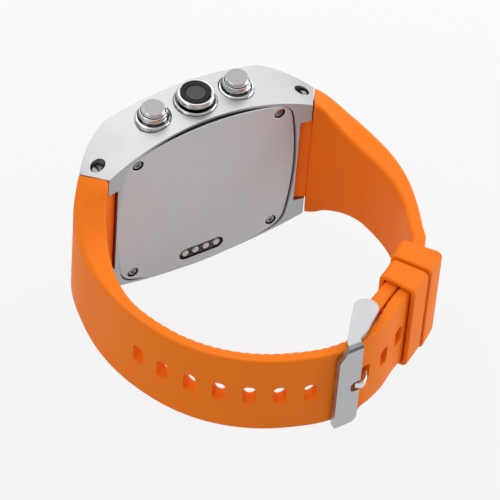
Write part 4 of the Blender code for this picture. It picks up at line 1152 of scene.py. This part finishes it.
@dataclass
class Strap:
    """The two halves of the moulded silicone strap."""

    rack: Rack
    case: Case
    clasp: Clasp
    half_width: float = 10.7
    flare_outer: float = 4.3
    flare_inner: float = 6.2
    flare_length: float = 21.0
    root_to: float = 10.0
    taper_end: float = 38.0
    long_thick: float = 2.7
    short_thick: float = 3.0
    start_angle: float = 54.0
    skew_length: float = 12.0
    keeper_gap: float = 0.25
    hole_pitch: float = 6.35
    hole_outer: tuple[float, float] = (1.35, 2.5)
    hole_inner: tuple[float, float] = (1.25, 1.95)
    hole_corner: float = 1.1
    holes_before: int = 8
    holes_after: int = 3
    inner_soft: float = 0.85
    edge_soft: float = 0.55
    rib_pitch: float = 2.1
    rib_height: float = 0.12
    tail_length: float = 6.0
    tail_half: float = 6.5
    loop_radius: float = 1.75
    bar_bore: float = 1.05
    slot_half: float = 2.2
    through: float = 22.0
    tongue_shy: float = 0.5
    heel_slope: tuple[float, float] = (0.7, -0.42)
    root_soft: float = 0.45
    swell: float = 2.2
    station: float = 0.9
    keeper_corners: tuple[float, float] = (1.5, 0.5)
    tip_to_tang_hole: float = 27.1
    long_waypoints: tuple = ((-32.6, -0.6), (-35.2, -6.6), (-36.6, -13.5), (-36.8, -20.5),
                             (-35.9, -27.8), (-33.7, -35.2), (-30.0, -42.5), (-24.6, -48.9),
                             (-17.6, -54.0), (-9.3, -57.5), (-2.8, -58.95), (4.2, -58.6),
                             (10.6, -56.35))
    short_waypoints: tuple = ((31.0, -36.6), (33.3, -30.6), (35.1, -24.2), (36.0, -18.0),
                              (36.1, -12.5), (34.9, -6.2), (32.4, -0.4))

    def long_route(self) -> Route:
        """Give the outer face of the strap with the holes, from the case to its tail.

        Returns:
            Its route at Z = 0.
        """
        turn, way = math.radians(self.start_angle), math.radians(self.clasp.start)
        start = self.case.lug_face(-1)[1]
        knots = [start, *self.long_waypoints, self.clasp.point(self.clasp.outer, self.clasp.start)]
        points = smooth_curve(knots, Vector((-math.cos(turn), -math.sin(turn))),
                              Vector((math.cos(way), math.sin(way))))
        swing = self.clasp.tail_end - self.clasp.start
        points += [self.clasp.point(self.clasp.outer, self.clasp.start + swing * i / 24)
                   for i in range(1, 25)]
        return Route(points)

    @property
    def short_outer(self) -> float:
        """The radius of the short strap's outer face under the keepers."""
        return self.clasp.outer - self.long_thick - self.keeper_gap

    def short_route(self) -> Route:
        """Give the outer face of the buckle's strap, from the case to the clasp.

        Returns:
            Its route at Z = 0.
        """
        turn, way = math.radians(self.start_angle), math.radians(self.clasp.end)
        knots = [self.clasp.point(self.short_outer, self.clasp.end), *self.short_waypoints,
                 self.case.lug_face(1)[1]]
        points = smooth_curve(knots, Vector((math.cos(way), math.sin(way))),
                              Vector((-math.cos(turn), math.sin(turn))))
        return Route(list(reversed(points)))

    def section(self, outer: Vector, inner: Vector, half_outer: float, half_inner: float,
                soft: float, rib: float = 0.0) -> Ring:
        """Draw one section across the strap, with round edges.

        Args:
            outer: The middle of its outer face.
            inner: The middle of its inner face.
            half_outer: Half its width at the outer face.
            half_inner: Half its width at the inner face.
            soft: The radius of its outer edges.
            rib: How far a cross rib stands off its inner face.

        Returns:
            The ring of points.
        """
        down = inner - outer
        thick = down.length
        down = down / thick
        inner_soft = self.inner_soft
        soft = min(soft, thick - inner_soft - 0.3)
        half: list[tuple[float, float]] = [(0.0, 0.0), (0.45 * (half_outer - soft), 0.0)]
        for i in range(9):
            turn = math.radians(90 * i / 8)
            half.append((half_outer - soft + soft * math.sin(turn), soft - soft * math.cos(turn)))
        for i in range(8):
            turn = math.radians(90 * i / 7)
            half.append((half_inner - inner_soft + inner_soft * math.cos(turn),
                         thick - inner_soft + inner_soft * math.sin(turn) - rib))
        half += [(0.5 * half_inner, thick - rib), (0.0, thick - rib)]
        ring = [(outer + down * deep, across) for across, deep in half]
        ring += [(outer + down * deep, -across) for across, deep in reversed(half[1:-1])]
        return [(p.x, p.y, z) for p, z in ring]

    def root(self, route: Route, side: int, thick: float, stations: Sequence[float],
             rib: Callable[[float], float]) -> list[Ring]:
        """Draw the sections from the case to the plain strap.

        Args:
            route: The strap's outer face.
            side: -1 or 1, its end of the case.
            thick: Its thickness where it is plain.
            stations: Distances along the route.
            rib: The inner face's relief at a distance.

        Returns:
            The rings.
        """
        back, front = self.case.lug_face(side)
        normal = route.normal(0.0, side)
        root_thick = (front - back).dot(normal)
        skew = (back - (front - normal * root_thick)).dot(route.along(0.0))
        rings = []
        for distance in stations:
            taper = smooth_step((distance - self.root_to) / (self.taper_end - self.root_to))
            deep = root_thick + (thick - root_thick) * taper
            lean = skew * max(1 - distance / self.skew_length, 0.0) ** 2
            flare = 1 - smooth_step(min(distance / self.flare_length, 1.0) ** 0.8)
            outer = route.at(distance)
            inner = outer - route.normal(distance, side) * deep + route.along(distance) * lean
            swell = smooth_step(distance / 9.0) * (1 - smooth_step((distance - 8) / 24.0))
            soft = self.root_soft + self.swell * swell
            rings.append(self.section(outer, inner, self.half_width + self.flare_outer * flare,
                                      self.half_width + self.flare_inner * flare, soft,
                                      rib(distance)))
        return rings

    def tongue(self, side: int) -> bmesh.types.BMesh:
        """Make the narrow end that stands in the case's notch, round over its pin.

        Args:
            side: 1 or -1, the end of the case.

        Returns:
            A closed mesh.
        """
        back, front = self.case.lug_face(side)
        reach = (front - back).normalized()
        into = Vector((side * abs(reach.y), -abs(reach.x))) * 0.6
        pin = Vector((side * self.case.pin[0], self.case.pin[1]))
        radius, shy = self.case.tongue, self.tongue_shy
        turn = math.degrees(math.atan2(reach.y, reach.x))
        nose = arc(pin, radius, turn, 180 if side > 0 else 0, 20)
        heel_y = self.case.lug_back[1] + shy
        low = back + reach * shy * 2 + into
        high = pin + reach * radius
        high = high + into * ((back - high).dot(into) / into.length_squared + 1)
        inner, outer = self.heel_slope
        outline = [*nose, (nose[-1][0], heel_y + inner), (back.x, heel_y + outer),
                   (low.x, low.y), (high.x, high.y)]
        half = self.case.notch_half - self.case.gap
        return slab(outline, -half, half, Axis.Z)

    def pin_hole(self, side: int) -> bmesh.types.BMesh:
        """Give the tool for the hole that the strap's pin goes through."""
        return rod(self.case.pin_bore, -self.through, self.through,
                   (side * self.case.pin[0], self.case.pin[1], 0))

    def hole_frame(self, route: Route, distance: float) -> Matrix:
        """Give axes on the long strap's outer face: X along it, Y out of it, Z across it.

        Args:
            route: The long strap's route.
            distance: The way along it.

        Returns:
            The axes there.
        """
        at, way, normal = route.at(distance), route.along(distance), route.normal(distance, -1)
        return Matrix(((way.x, normal.x, 0, at.x), (way.y, normal.y, 0, at.y), (0, 0, 1, 0),
                       (0, 0, 0, 1)))

    def build_long(self) -> Route:
        """Make the strap with the holes.

        Returns:
            The route of its outer face, which the buckle needs.
        """
        route = self.long_route()

        def rib(distance: float) -> float:
            """Give the height of the fine cross ribs, which fade out towards both ends."""
            fade = smooth_step((distance - 34) / 6) * (1 - smooth_step((distance - 100) / 5))
            return self.rib_height * fade * max(math.sin(math.tau * distance / self.rib_pitch), -0.2)

        plain_end = route.length - self.tail_length
        stations = [self.station * i for i in range(42)]
        rings = self.root(route, -1, self.long_thick, stations + [self.taper_end], rib)
        count = int((plain_end - self.taper_end) / 0.45)
        runs = [self.taper_end + (plain_end - self.taper_end) * i / count for i in range(1, count + 1)]
        tail = [plain_end + self.tail_length * math.sin(math.pi / 2 * i / 14) for i in range(1, 15)]
        for distance in runs + tail:
            past = max(distance - plain_end, 0.0) / self.tail_length
            narrowing = math.sqrt(max(1 - 0.985 * past ** 2, 0.0))
            half = self.tail_half + (self.half_width - self.tail_half) * narrowing
            outer = route.at(distance)
            inner = outer - route.normal(distance, -1) * self.long_thick
            rings.append(self.section(outer, inner, half, half, self.edge_soft, rib(distance)))
        bm = carved(swept(rings), self.tongue(-1), Cut.JOIN)
        bm = carved(bm, self.pin_hole(-1))
        tang_hole = route.length - self.tip_to_tang_hole
        levels = ((1.0, self.hole_outer), (0.0, self.hole_outer),
                  (-self.long_thick, self.hole_inner), (-4.0, self.hole_inner))
        for i in range(-self.holes_before, self.holes_after + 1):
            hole = swept([[(a, deep, b) for a, b in round_box(*half, self.hole_corner, 6)]
                          for deep, half in levels])
            bm = carved(bm, moved(hole, self.hole_frame(route, tang_hole + i * self.hole_pitch)))
        finished("strap_with_holes", bm, self.rack.take(Finishes.SILICONE), "root",
                 ["strap_long"], Edges(0.3, 4, 45))
        return route

    def build_short(self) -> None:
        """Make the buckle's strap, with the loop round the spring bar."""
        route = self.short_route()
        stations = [self.station * i for i in range(42)] + [self.taper_end]
        rest = route.length - self.taper_end
        stations += [self.taper_end + rest * i / 8 for i in range(1, 8)]
        rings = self.root(route, 1, self.short_thick, stations, lambda distance: 0.0)
        inner_r = self.short_outer - self.short_thick
        clasp, loop = self.clasp, self.loop_radius
        for i in range(41):
            angle = clasp.end + (clasp.bar_angle - clasp.end) * i / 40
            blend = smooth_step((clasp.start - angle) / (clasp.start - clasp.bar_angle))
            rise = clasp.bar_radius + loop - self.short_outer
            fall = clasp.bar_radius - loop - inner_r
            outer = clasp.point(self.short_outer + rise * blend, angle)
            inner = clasp.point(inner_r + fall * blend, angle)
            rings.append(self.section(outer, inner, self.half_width, self.half_width, 0.5))
        bm = carved(swept(rings), self.tongue(1), Cut.JOIN)
        bar = clasp.bar
        at = (bar.x, bar.y, 0)
        eye = soften(rod(loop, 0.02 - self.half_width, self.half_width - 0.02, at), 0.4, 3, 60)
        bm = carved(bm, eye, Cut.JOIN)
        bm = carved(bm, rod(self.bar_bore, -self.through, self.through, at))
        bm = carved(bm, self.pin_hole(1))
        bm = carved(bm, block((bar.x - 4, bar.x + 2.1), (bar.y - 4, bar.y + 4),
                              (-self.slot_half, self.slot_half)))
        finished("strap_with_buckle_loop", bm, self.rack.take(Finishes.SILICONE), "root",
                 ["strap_short"], Edges(0.16, 3, 45))

    def build_keeper(self, name: str, node: str, body: str, first: float, last: float,
                     wall: float) -> None:
        """Make one keeper: a soft band round both straps.

        Args:
            name: The piece's name.
            node: The frame's node that it replaces.
            body: The body that it moves with.
            first: The angle of its first end on the clasp's arc.
            last: The angle of its other end.
            wall: How thick the band is.
        """
        low = self.short_outer - self.short_thick - self.keeper_gap
        high = self.clasp.outer + self.keeper_gap
        half = self.half_width + self.keeper_gap

        def sleeve(grow: float, start: float, end: float, corner: float, steps: int) -> list[Ring]:
            """Give the sections of a sleeve that lies so far off the straps.

            Args:
                grow: The way off the straps.
                start: The angle of its first section.
                end: The angle of its last.
                corner: The corners' radius.
                steps: How many sections it has, less one.

            Returns:
                The sections in order.
            """
            middle, reach = (low + high) / 2, (high - low) / 2 + grow
            shape = round_box(reach, half + grow, corner, 8)
            rings = []
            for i in range(steps + 1):
                angle = start + (end - start) * i / steps
                ring = [(self.clasp.point(middle + a, angle), b) for a, b in shape]
                rings.append([(p.x, p.y, z) for p, z in ring])
            return rings

        bm = swept(sleeve(wall, first, last, self.keeper_corners[0], 14))
        bm = carved(bm, swept(sleeve(0.0, first - 1, last + 1, self.keeper_corners[1], 16)))
        finished(name, bm, self.rack.take(Finishes.SILICONE), body, [node],
                 Edges(0.42, 4, 45))


# ---------------------------------------------------------------- the buckle


@dataclass
class Buckle:
    """The pin buckle: frame, tang and spring bar."""

    rack: Rack
    strap: Strap
    route: Route
    thick: float = 1.3
    half_width: float = 12.45
    ear: float = 2.65
    neck: float = 1.95
    neck_from_ear: float = 5.6
    foot_back: float = 0.3
    bar_half: float = 2.7
    from_tang_hole: float = 5.15
    notch_half: float = 1.45
    notch_deep: float = 2.2
    corner: float = 2.2
    cut_corner: float = 3.4
    round_corner: float = 1.9
    ear_open: float = 75.0
    pin_bore: float = 0.75
    tang_half: float = 1.4
    tang_thick: float = 0.9
    eye_radius: float = 1.5
    eye_bore: float = 1.05
    eye_half: float = 1.73
    gap: float = 0.3
    bend: float = 1.5
    tang_shy: float = 0.3

    def __post_init__(self) -> None:
        """Find the bar's own axes: X along the strap, Y out of it, Z across it."""
        self.hole = self.route.length - self.strap.tip_to_tang_hole
        spot = self.hole - self.from_tang_hole
        way, normal = self.route.along(spot), self.route.normal(spot, -1)
        middle = self.route.at(spot) + normal * (self.gap + self.thick / 2)
        self.axes = Matrix(((way.x, normal.x, 0, middle.x), (way.y, normal.y, 0, middle.y),
                            (0, 0, 1, 0), (0, 0, 0, 1)))
        self.pin = self.strap.clasp.bar
        place = self.axes.inverted() @ Vector((self.pin.x, self.pin.y, 0))
        self.pin_here = Vector((place.x, place.y))

    def build_frame(self) -> None:
        """Make the frame: a flat bar bent at both ends into arms with round ears."""
        half = self.thick / 2
        bm = slab(self.bar_outline(), -half, half, Axis.Y)
        for up in (-1, 1):
            ends = sorted((up * (self.half_width - self.thick), up * self.half_width))
            bm = carved(bm, slab(self.arm_outline(up), ends[0], ends[1], Axis.Z), Cut.JOIN)
            bm = carved(bm, self.bend_tool(up))
            hole = sorted((up * (self.half_width - 0.4), up * 9.7))
            at = (self.pin_here.x, self.pin_here.y, 0)
            bm = carved(bm, rod(self.pin_bore, hole[0], hole[1], at, steps=24))
        notch = slab(round_box(self.notch_deep, self.notch_half, 1.0, 8), -3, 3, Axis.Y)
        bmesh.ops.translate(notch, verts=notch.verts, vec=(self.bar_half, 0, 0))
        bm = carved(bm, notch)
        moved(bm, self.axes)
        to_bar = self.axes.inverted()
        turn_to_bar = to_bar.to_3x3()

        def in_shade(face: bmesh.types.BMFace) -> bool:
            """Tell the outside of the two bends, which takes a painted dark band of shade.

            Args:
                face: A face of the clasp's frame.

            Returns:
                Whether it lies there.
            """
            face.normal_update()
            at, out = to_bar @ face.calc_center_median(), turn_to_bar @ face.normal
            at_end = abs(at.z) > self.half_width - self.bend
            return at_end and 0.35 < abs(out.z) < 0.75 and out.y > 0.3

        # The outsides of the bends take a darker steel: a painted band of shade and dark reflection.
        finished("buckle_bent_frame", bm, self.rack.take(Finishes.BUCKLE_STEEL), "buckle",
                 ["buckle_frame"], Edges(0.4, 5, 42),
                 (self.rack.take(Finishes.BEND_PAINTED_SHADE_STEEL), in_shade))

    def bar_outline(self) -> Outline:
        """Draw the flat bar, one corner cut off at each end and the other round at the lower.

        Returns:
            Its outline, in its own axes.
        """
        a, b = self.bar_half, self.half_width - 0.02
        high = [(a, b), (-self.foot_back, b), (-a, b - self.cut_corner)]
        turn = self.round_corner
        low = arc((turn - a, turn - b), turn, 180, 270, 10) + [(a - 1.5, -b), (a, self.corner - b)]
        return high + low

    def arm_outline(self, up: int) -> Outline:
        """Draw one arm: the round ear, the neck, and the foot that meets the bar.

        Args:
            up: 1 for the arm on the camera's side, -1 for the other.

        Returns:
            The outline in the bar's own axes.
        """
        half = self.thick / 2
        way = -self.pin_here.normalized()
        across = Vector((way.y, -way.x))
        turn = math.degrees(math.atan2(way.y, way.x))
        ear = [Vector(p) for p in arc(self.pin_here, self.ear, turn - self.ear_open,
                                     turn - 360 + self.ear_open, 40)]
        low_x, high_x = (-self.foot_back, self.bar_half) if up > 0 else (1.3 - self.bar_half,
                                                                        self.bar_half - 1.4)
        foot_low, foot_high = Vector((low_x, -half - 0.1)), Vector((high_x, -half - 0.1))
        neck_at = self.pin_here + way * self.neck_from_ear
        low_side = smooth_curve([ear[-1], neck_at - across * self.neck, foot_low],
                                (ear[-1] - ear[-2]).normalized(), Vector((-0.35, 1.0)).normalized(), 10)
        high_side = smooth_curve([foot_high, neck_at + across * self.neck, ear[0]],
                                 Vector((0.25, -1.0)).normalized(), (ear[1] - ear[0]).normalized(), 10)
        top = [Vector((low_x, half - 0.05)), Vector((high_x, half - 0.05))]
        return [(p.x, p.y) for p in ear[:-1] + low_side + top + high_side[:-1]]

    def bend_tool(self, up: int) -> bmesh.types.BMesh:
        """Give the tool that rounds the outside of the bend at one end of the bar.

        Args:
            up: 1 or -1, the end of the bar.

        Returns:
            A closed mesh.
        """
        half, wide = self.thick / 2, self.half_width
        centre = (half - self.bend, wide - self.bend)
        outline = arc(centre, self.bend, 0, 90, 10) + [(half - self.bend - 0.6, wide + 1),
                                                       (half + 1, wide + 1),
                                                       (half + 1, wide - self.bend - 0.6)]
        bm = slab([(out, up * z) for out, z in outline], -9, 9, Axis.Z)
        turn = Matrix(((0, 0, 1), (1, 0, 0), (0, 1, 0)))
        bmesh.ops.rotate(bm, verts=bm.verts, matrix=turn)
        bmesh.ops.recalc_face_normals(bm, faces=bm.faces)
        return bm

    def build_tang(self) -> None:
        """Make the tang: a ring round the spring bar, through the hole and onto the bar."""
        hole_normal = self.route.normal(self.hole, -1)
        through = self.route.at(self.hole) - self.route.along(self.hole) * self.tang_shy
        through_out = through + hole_normal * 0.2
        through_in = through - hole_normal * (self.strap.long_thick + 0.2)
        rest = self.on_bar(self.bar_half - self.notch_deep + 1.15, 0.25)
        knee = self.on_bar(self.bar_half + 0.6, 0.55)
        way = (through_in - self.pin).normalized()
        leave = self.axes.to_3x3() @ Vector((-1, 0, 0))
        spine = Route(smooth_curve([self.pin + way * 0.9, through_in, through_out, knee, rest], way,
                                   Vector((leave.x, leave.y)), 14))
        rings: list[Ring] = []
        for i in range(49):
            share = i / 48
            distance = spine.length * share
            at, step = spine.at(distance), spine.along(distance, 0.3)
            side = Vector((-step.y, step.x))
            tip = smooth_step((share - 0.9) / 0.1)
            wide = self.tang_half - 0.5 * smooth_step((share - 0.3) / 0.5) - 0.15 * tip
            shape = round_box(self.tang_thick / 2 * (1 - 0.35 * tip), wide, 0.28, 5)
            ring = [(at + side * a, b) for a, b in shape]
            rings.append([(p.x, p.y, z) for p, z in ring])
        bm = swept(rings)
        at = (self.pin.x, self.pin.y, 0)
        eye = soften(rod(self.eye_radius, -self.eye_half, self.eye_half, at), 0.2, 3, 60)
        bm = carved(bm, eye, Cut.JOIN)
        bm = carved(bm, rod(self.eye_bore, -4, 4, at))
        finished("buckle_curved_tang", bm, self.rack.take(Finishes.POLISHED_STEEL), "tang",
                 ["buckle_tang"], Edges(0.1, 3, 45))

    def on_bar(self, along: float, out: float) -> Vector:
        """Give a place in the frame's plane from one in the bar's own axes."""
        place = self.axes @ Vector((along, out, 0))
        return Vector((place.x, place.y))

    def build_spring_bar(self) -> None:
        """Make the sprung bar that the frame and the tang turn on."""
        shaft, tip = self.half_width - self.thick - self.gap, self.half_width - 0.7
        profile = [(0, -tip), (0.35, -tip), (0.45, 0.1 - tip), (0.45, -shaft), (0.65, -shaft),
                   (0.75, 0.1 - shaft), (0.75, shaft - 0.1), (0.65, shaft), (0.45, shaft),
                   (0.45, tip - 0.1), (0.35, tip), (0, tip)]
        finished("spring_bar", turned(profile, (self.pin.x, self.pin.y, 0), steps=40),
                 self.rack.take(Finishes.POLISHED_STEEL), "root", ["buckle_pin"])


# ---------------------------------------------------------------- inner pieces and studio


@dataclass
class InnerPieces:
    """The pieces of the frame that keep their own shape and only take a finish."""

    rack: Rack
    finishes: dict[str, Finishes] = field(default_factory=lambda: {
        "case_back_gasket": Finishes.SEAL, "main_board": Finishes.BOARD, "battery": Finishes.FOIL,
        "speaker": Finishes.COMPONENT, "vibration_motor": Finishes.POLISHED_STEEL,
        "gps_antenna": Finishes.CERAMIC, "camera_module": Finishes.COMPONENT,
        "button_clip_left": Finishes.POLISHED_STEEL, "button_clip_right": Finishes.POLISHED_STEEL,
        "button_switch_left": Finishes.COMPONENT, "button_switch_right": Finishes.COMPONENT})

    def dress(self, nodes: dict[str, bpy.types.Object]) -> None:
        """Give each of them its finish.

        Args:
            nodes: The frame's objects by name.
        """
        for name, finish in self.finishes.items():
            nodes[name].data.materials.clear()
            nodes[name].data.materials.append(self.rack.take(finish))
            LOG.info("%s: %s", name, finish.value.name)


@dataclass
class Studio:
    """A plain pale set with soft light, and the camera."""

    eye: tuple[float, float, float] = (-299.395, -479.827, 609.998)
    aim: tuple[float, float, float] = (0.36496, 0.56180, -0.74242)
    level: tuple[float, float, float] = (0.87318648, -0.48511701, 0.04697713)
    lens: float = 280.68
    floor_size: float = 6.0
    # The floor's seen colour runs from near_tone close to the camera to far_tone far off: a painted
    # falloff of the light.
    near_tone: str = "#F8F8F8"
    far_tone: str = "#FFFFFF"
    paper: str = "#D4D4D4"
    even_share: float = 0.9
    lamps: tuple = (("lamp_top", (0.0, 0.72, 1.1), (1.6, 1.3), 7.0),
                    ("lamp_back", (1.1, 0.75, 0.55), (0.9, 0.8), 2.8),
                    ("lamp_left", (-1.1, -0.15, 0.5), (0.8, 0.8), 2.4),
                    ("lamp_right", (1.15, -0.4, 0.35), (0.8, 0.7), 6.8))
    room_low: float = 0.16
    room_high: float = 0.6
    room_seen: float = 0.96

    def build_camera(self) -> None:
        """Stand the camera where it sees the watch from above its back."""
        look = Vector(self.aim).normalized()
        right = Vector(self.level)
        right = (right - look * right.dot(look)).normalized()
        up = right.cross(look)
        camera = bpy.data.cameras.new("camera")
        camera.lens = self.lens
        camera.sensor_width = 36.0
        camera.clip_start, camera.clip_end = 0.05, 50.0
        obj = bpy.data.objects.new("camera", camera)
        turn = Matrix((right, up, -look)).transposed().to_4x4()
        obj.matrix_world = Matrix.Translation(Vector(self.eye) * MM) @ turn
        bpy.context.scene.collection.objects.link(obj)
        bpy.context.scene.camera = obj

    def build_floor(self, level: float) -> None:
        """Lay the pale floor, which shows nearly its own even colour, painted a little darker near the
        camera, and a soft shadow.

        Args:
            level: Its height, the lowest point of the watch.
        """
        bm = bmesh.new()
        bmesh.ops.create_grid(bm, x_segments=1, y_segments=1, size=self.floor_size / 2)
        bmesh.ops.translate(bm, verts=bm.verts, vec=(0, 0, level))
        mesh = bpy.data.meshes.new("floor")
        bm.to_mesh(mesh)
        bm.free()
        floor = bpy.data.objects.new("floor", mesh)
        bpy.context.scene.collection.objects.link(floor)
        material = bpy.data.materials.new("paper_sweep_white")
        material.use_nodes = True
        tree = material.node_tree
        paper = tree.nodes["Principled BSDF"]
        paper.inputs["Base Color"].default_value = linear(self.paper)
        paper.inputs["Roughness"].default_value = 0.9
        paper.inputs["Specular IOR Level"].default_value = 0.0
        place = add_node(tree, "ShaderNodeTexCoord").outputs["Object"]
        back = add_node(tree, "ShaderNodeVectorMath",
                        {"operation": "DOT_PRODUCT", 1: (self.aim[0], self.aim[1], 0.0)}, {0: place})
        # Painted falloff of light: the floor is seen a little darker near the camera.
        fade = add_node(tree, "ShaderNodeMapRange", {"From Min": -0.06, "From Max": 0.08},
                        {"Value": back.outputs["Value"]})
        tone = add_node(tree, "ShaderNodeMix", {"data_type": "RGBA", 6: linear(self.near_tone),
                                                7: linear(self.far_tone)},
                        {0: fade.outputs["Result"]})
        even = add_node(tree, "ShaderNodeEmission", {"Strength": 1.0}, {"Color": tone.outputs[2]})
        rays = add_node(tree, "ShaderNodeLightPath").outputs
        seen = add_node(tree, "ShaderNodeMath", {"operation": "MAXIMUM"},
                        {0: rays["Is Camera Ray"], 1: rays["Is Glossy Ray"]})
        seen = add_node(tree, "ShaderNodeMath", {"operation": "MAXIMUM"},
                        {0: seen.outputs["Value"], 1: rays["Is Transmission Ray"]})
        share = add_node(tree, "ShaderNodeMath", {"operation": "MULTIPLY", 1: self.even_share},
                         {0: seen.outputs["Value"]})
        both = add_node(tree, "ShaderNodeMixShader", {},
                        {0: share.outputs["Value"], 1: paper.outputs["BSDF"],
                         2: even.outputs["Emission"]})
        tree.links.new(both.outputs["Shader"], tree.nodes["Material Output"].inputs["Surface"])
        mesh.materials.append(material)

    def build_lamp(self, name: str, at: Sequence[float], size: Sequence[float], watts: float) -> None:
        """Hang one soft rectangular lamp that faces the watch.

        Args:
            name: Its name.
            at: Its place in metres.
            size: Its width and height in metres.
            watts: Its power.
        """
        lamp = bpy.data.lights.new(name, "AREA")
        lamp.shape = "RECTANGLE"
        lamp.size, lamp.size_y = size
        lamp.energy = watts
        obj = bpy.data.objects.new(name, lamp)
        obj.location = at
        obj.rotation_euler = (-Vector(at)).to_track_quat("-Z", "Y").to_euler()
        bpy.context.scene.collection.objects.link(obj)

    def build_world(self) -> None:
        """Fill the room with even pale light, a little darker low down."""
        world = bpy.data.worlds.new("pale_room")
        bpy.context.scene.world = world
        world.use_nodes = True
        tree = world.node_tree
        shader = tree.nodes["Background"]
        way = add_node(tree, "ShaderNodeTexCoord").outputs["Generated"]
        parts = add_node(tree, "ShaderNodeSeparateXYZ", {}, {0: way})
        height = add_node(tree, "ShaderNodeMapRange",
                          {"interpolation_type": "SMOOTHSTEP", "From Min": 0.0, "From Max": 0.6,
                           "To Min": self.room_low, "To Max": self.room_high},
                          {"Value": parts.outputs["Z"]})
        rays = add_node(tree, "ShaderNodeLightPath")
        strength = add_node(tree, "ShaderNodeMix", {"data_type": "FLOAT", 3: self.room_seen},
                            {0: rays.outputs["Is Camera Ray"], 2: height.outputs["Result"]})
        tree.links.new(strength.outputs[0], shader.inputs["Strength"])
        shader.inputs["Color"].default_value = (1.0, 1.0, 1.0, 1.0)

    def build(self, lowest: float) -> None:
        """Set up the whole studio.

        Args:
            lowest: The height of the watch's lowest point.
        """
        self.build_camera()
        self.build_floor(lowest)
        for lamp in self.lamps:
            self.build_lamp(*lamp)
        self.build_world()
        bpy.context.scene.view_settings.view_transform = "Standard"


def main() -> None:
    """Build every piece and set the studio."""
    logging.basicConfig(level=logging.INFO, format="%(name)s: %(message)s")
    rack = Rack()
    case = Case(rack)
    controls = SideControls(rack)
    Studio().build(CAD_BOX[0][2])
    case.build_case(controls)
    case.build_back()
    case.build_front()
    controls.build_camera(case)
    for side, name in ((-1, "left"), (1, "right")):
        controls.build_button(case, side, name)
        case.build_pin(side, name)
    strap = Strap(rack, case, Clasp())
    route = strap.build_long()
    strap.build_short()
    strap.build_keeper("keeper_by_buckle", "keeper_fixed", "root", 28.5, 33.8, 1.1)
    strap.build_keeper("keeper_free", "keeper_sliding", "keeper", 34.1, 39.0, 1.5)
    buckle = Buckle(rack, strap, route)
    buckle.build_frame()
    buckle.build_tang()
    buckle.build_spring_bar()
    InnerPieces(rack).dress(frame["nodes"])


if __name__ == "__main__":
    main()
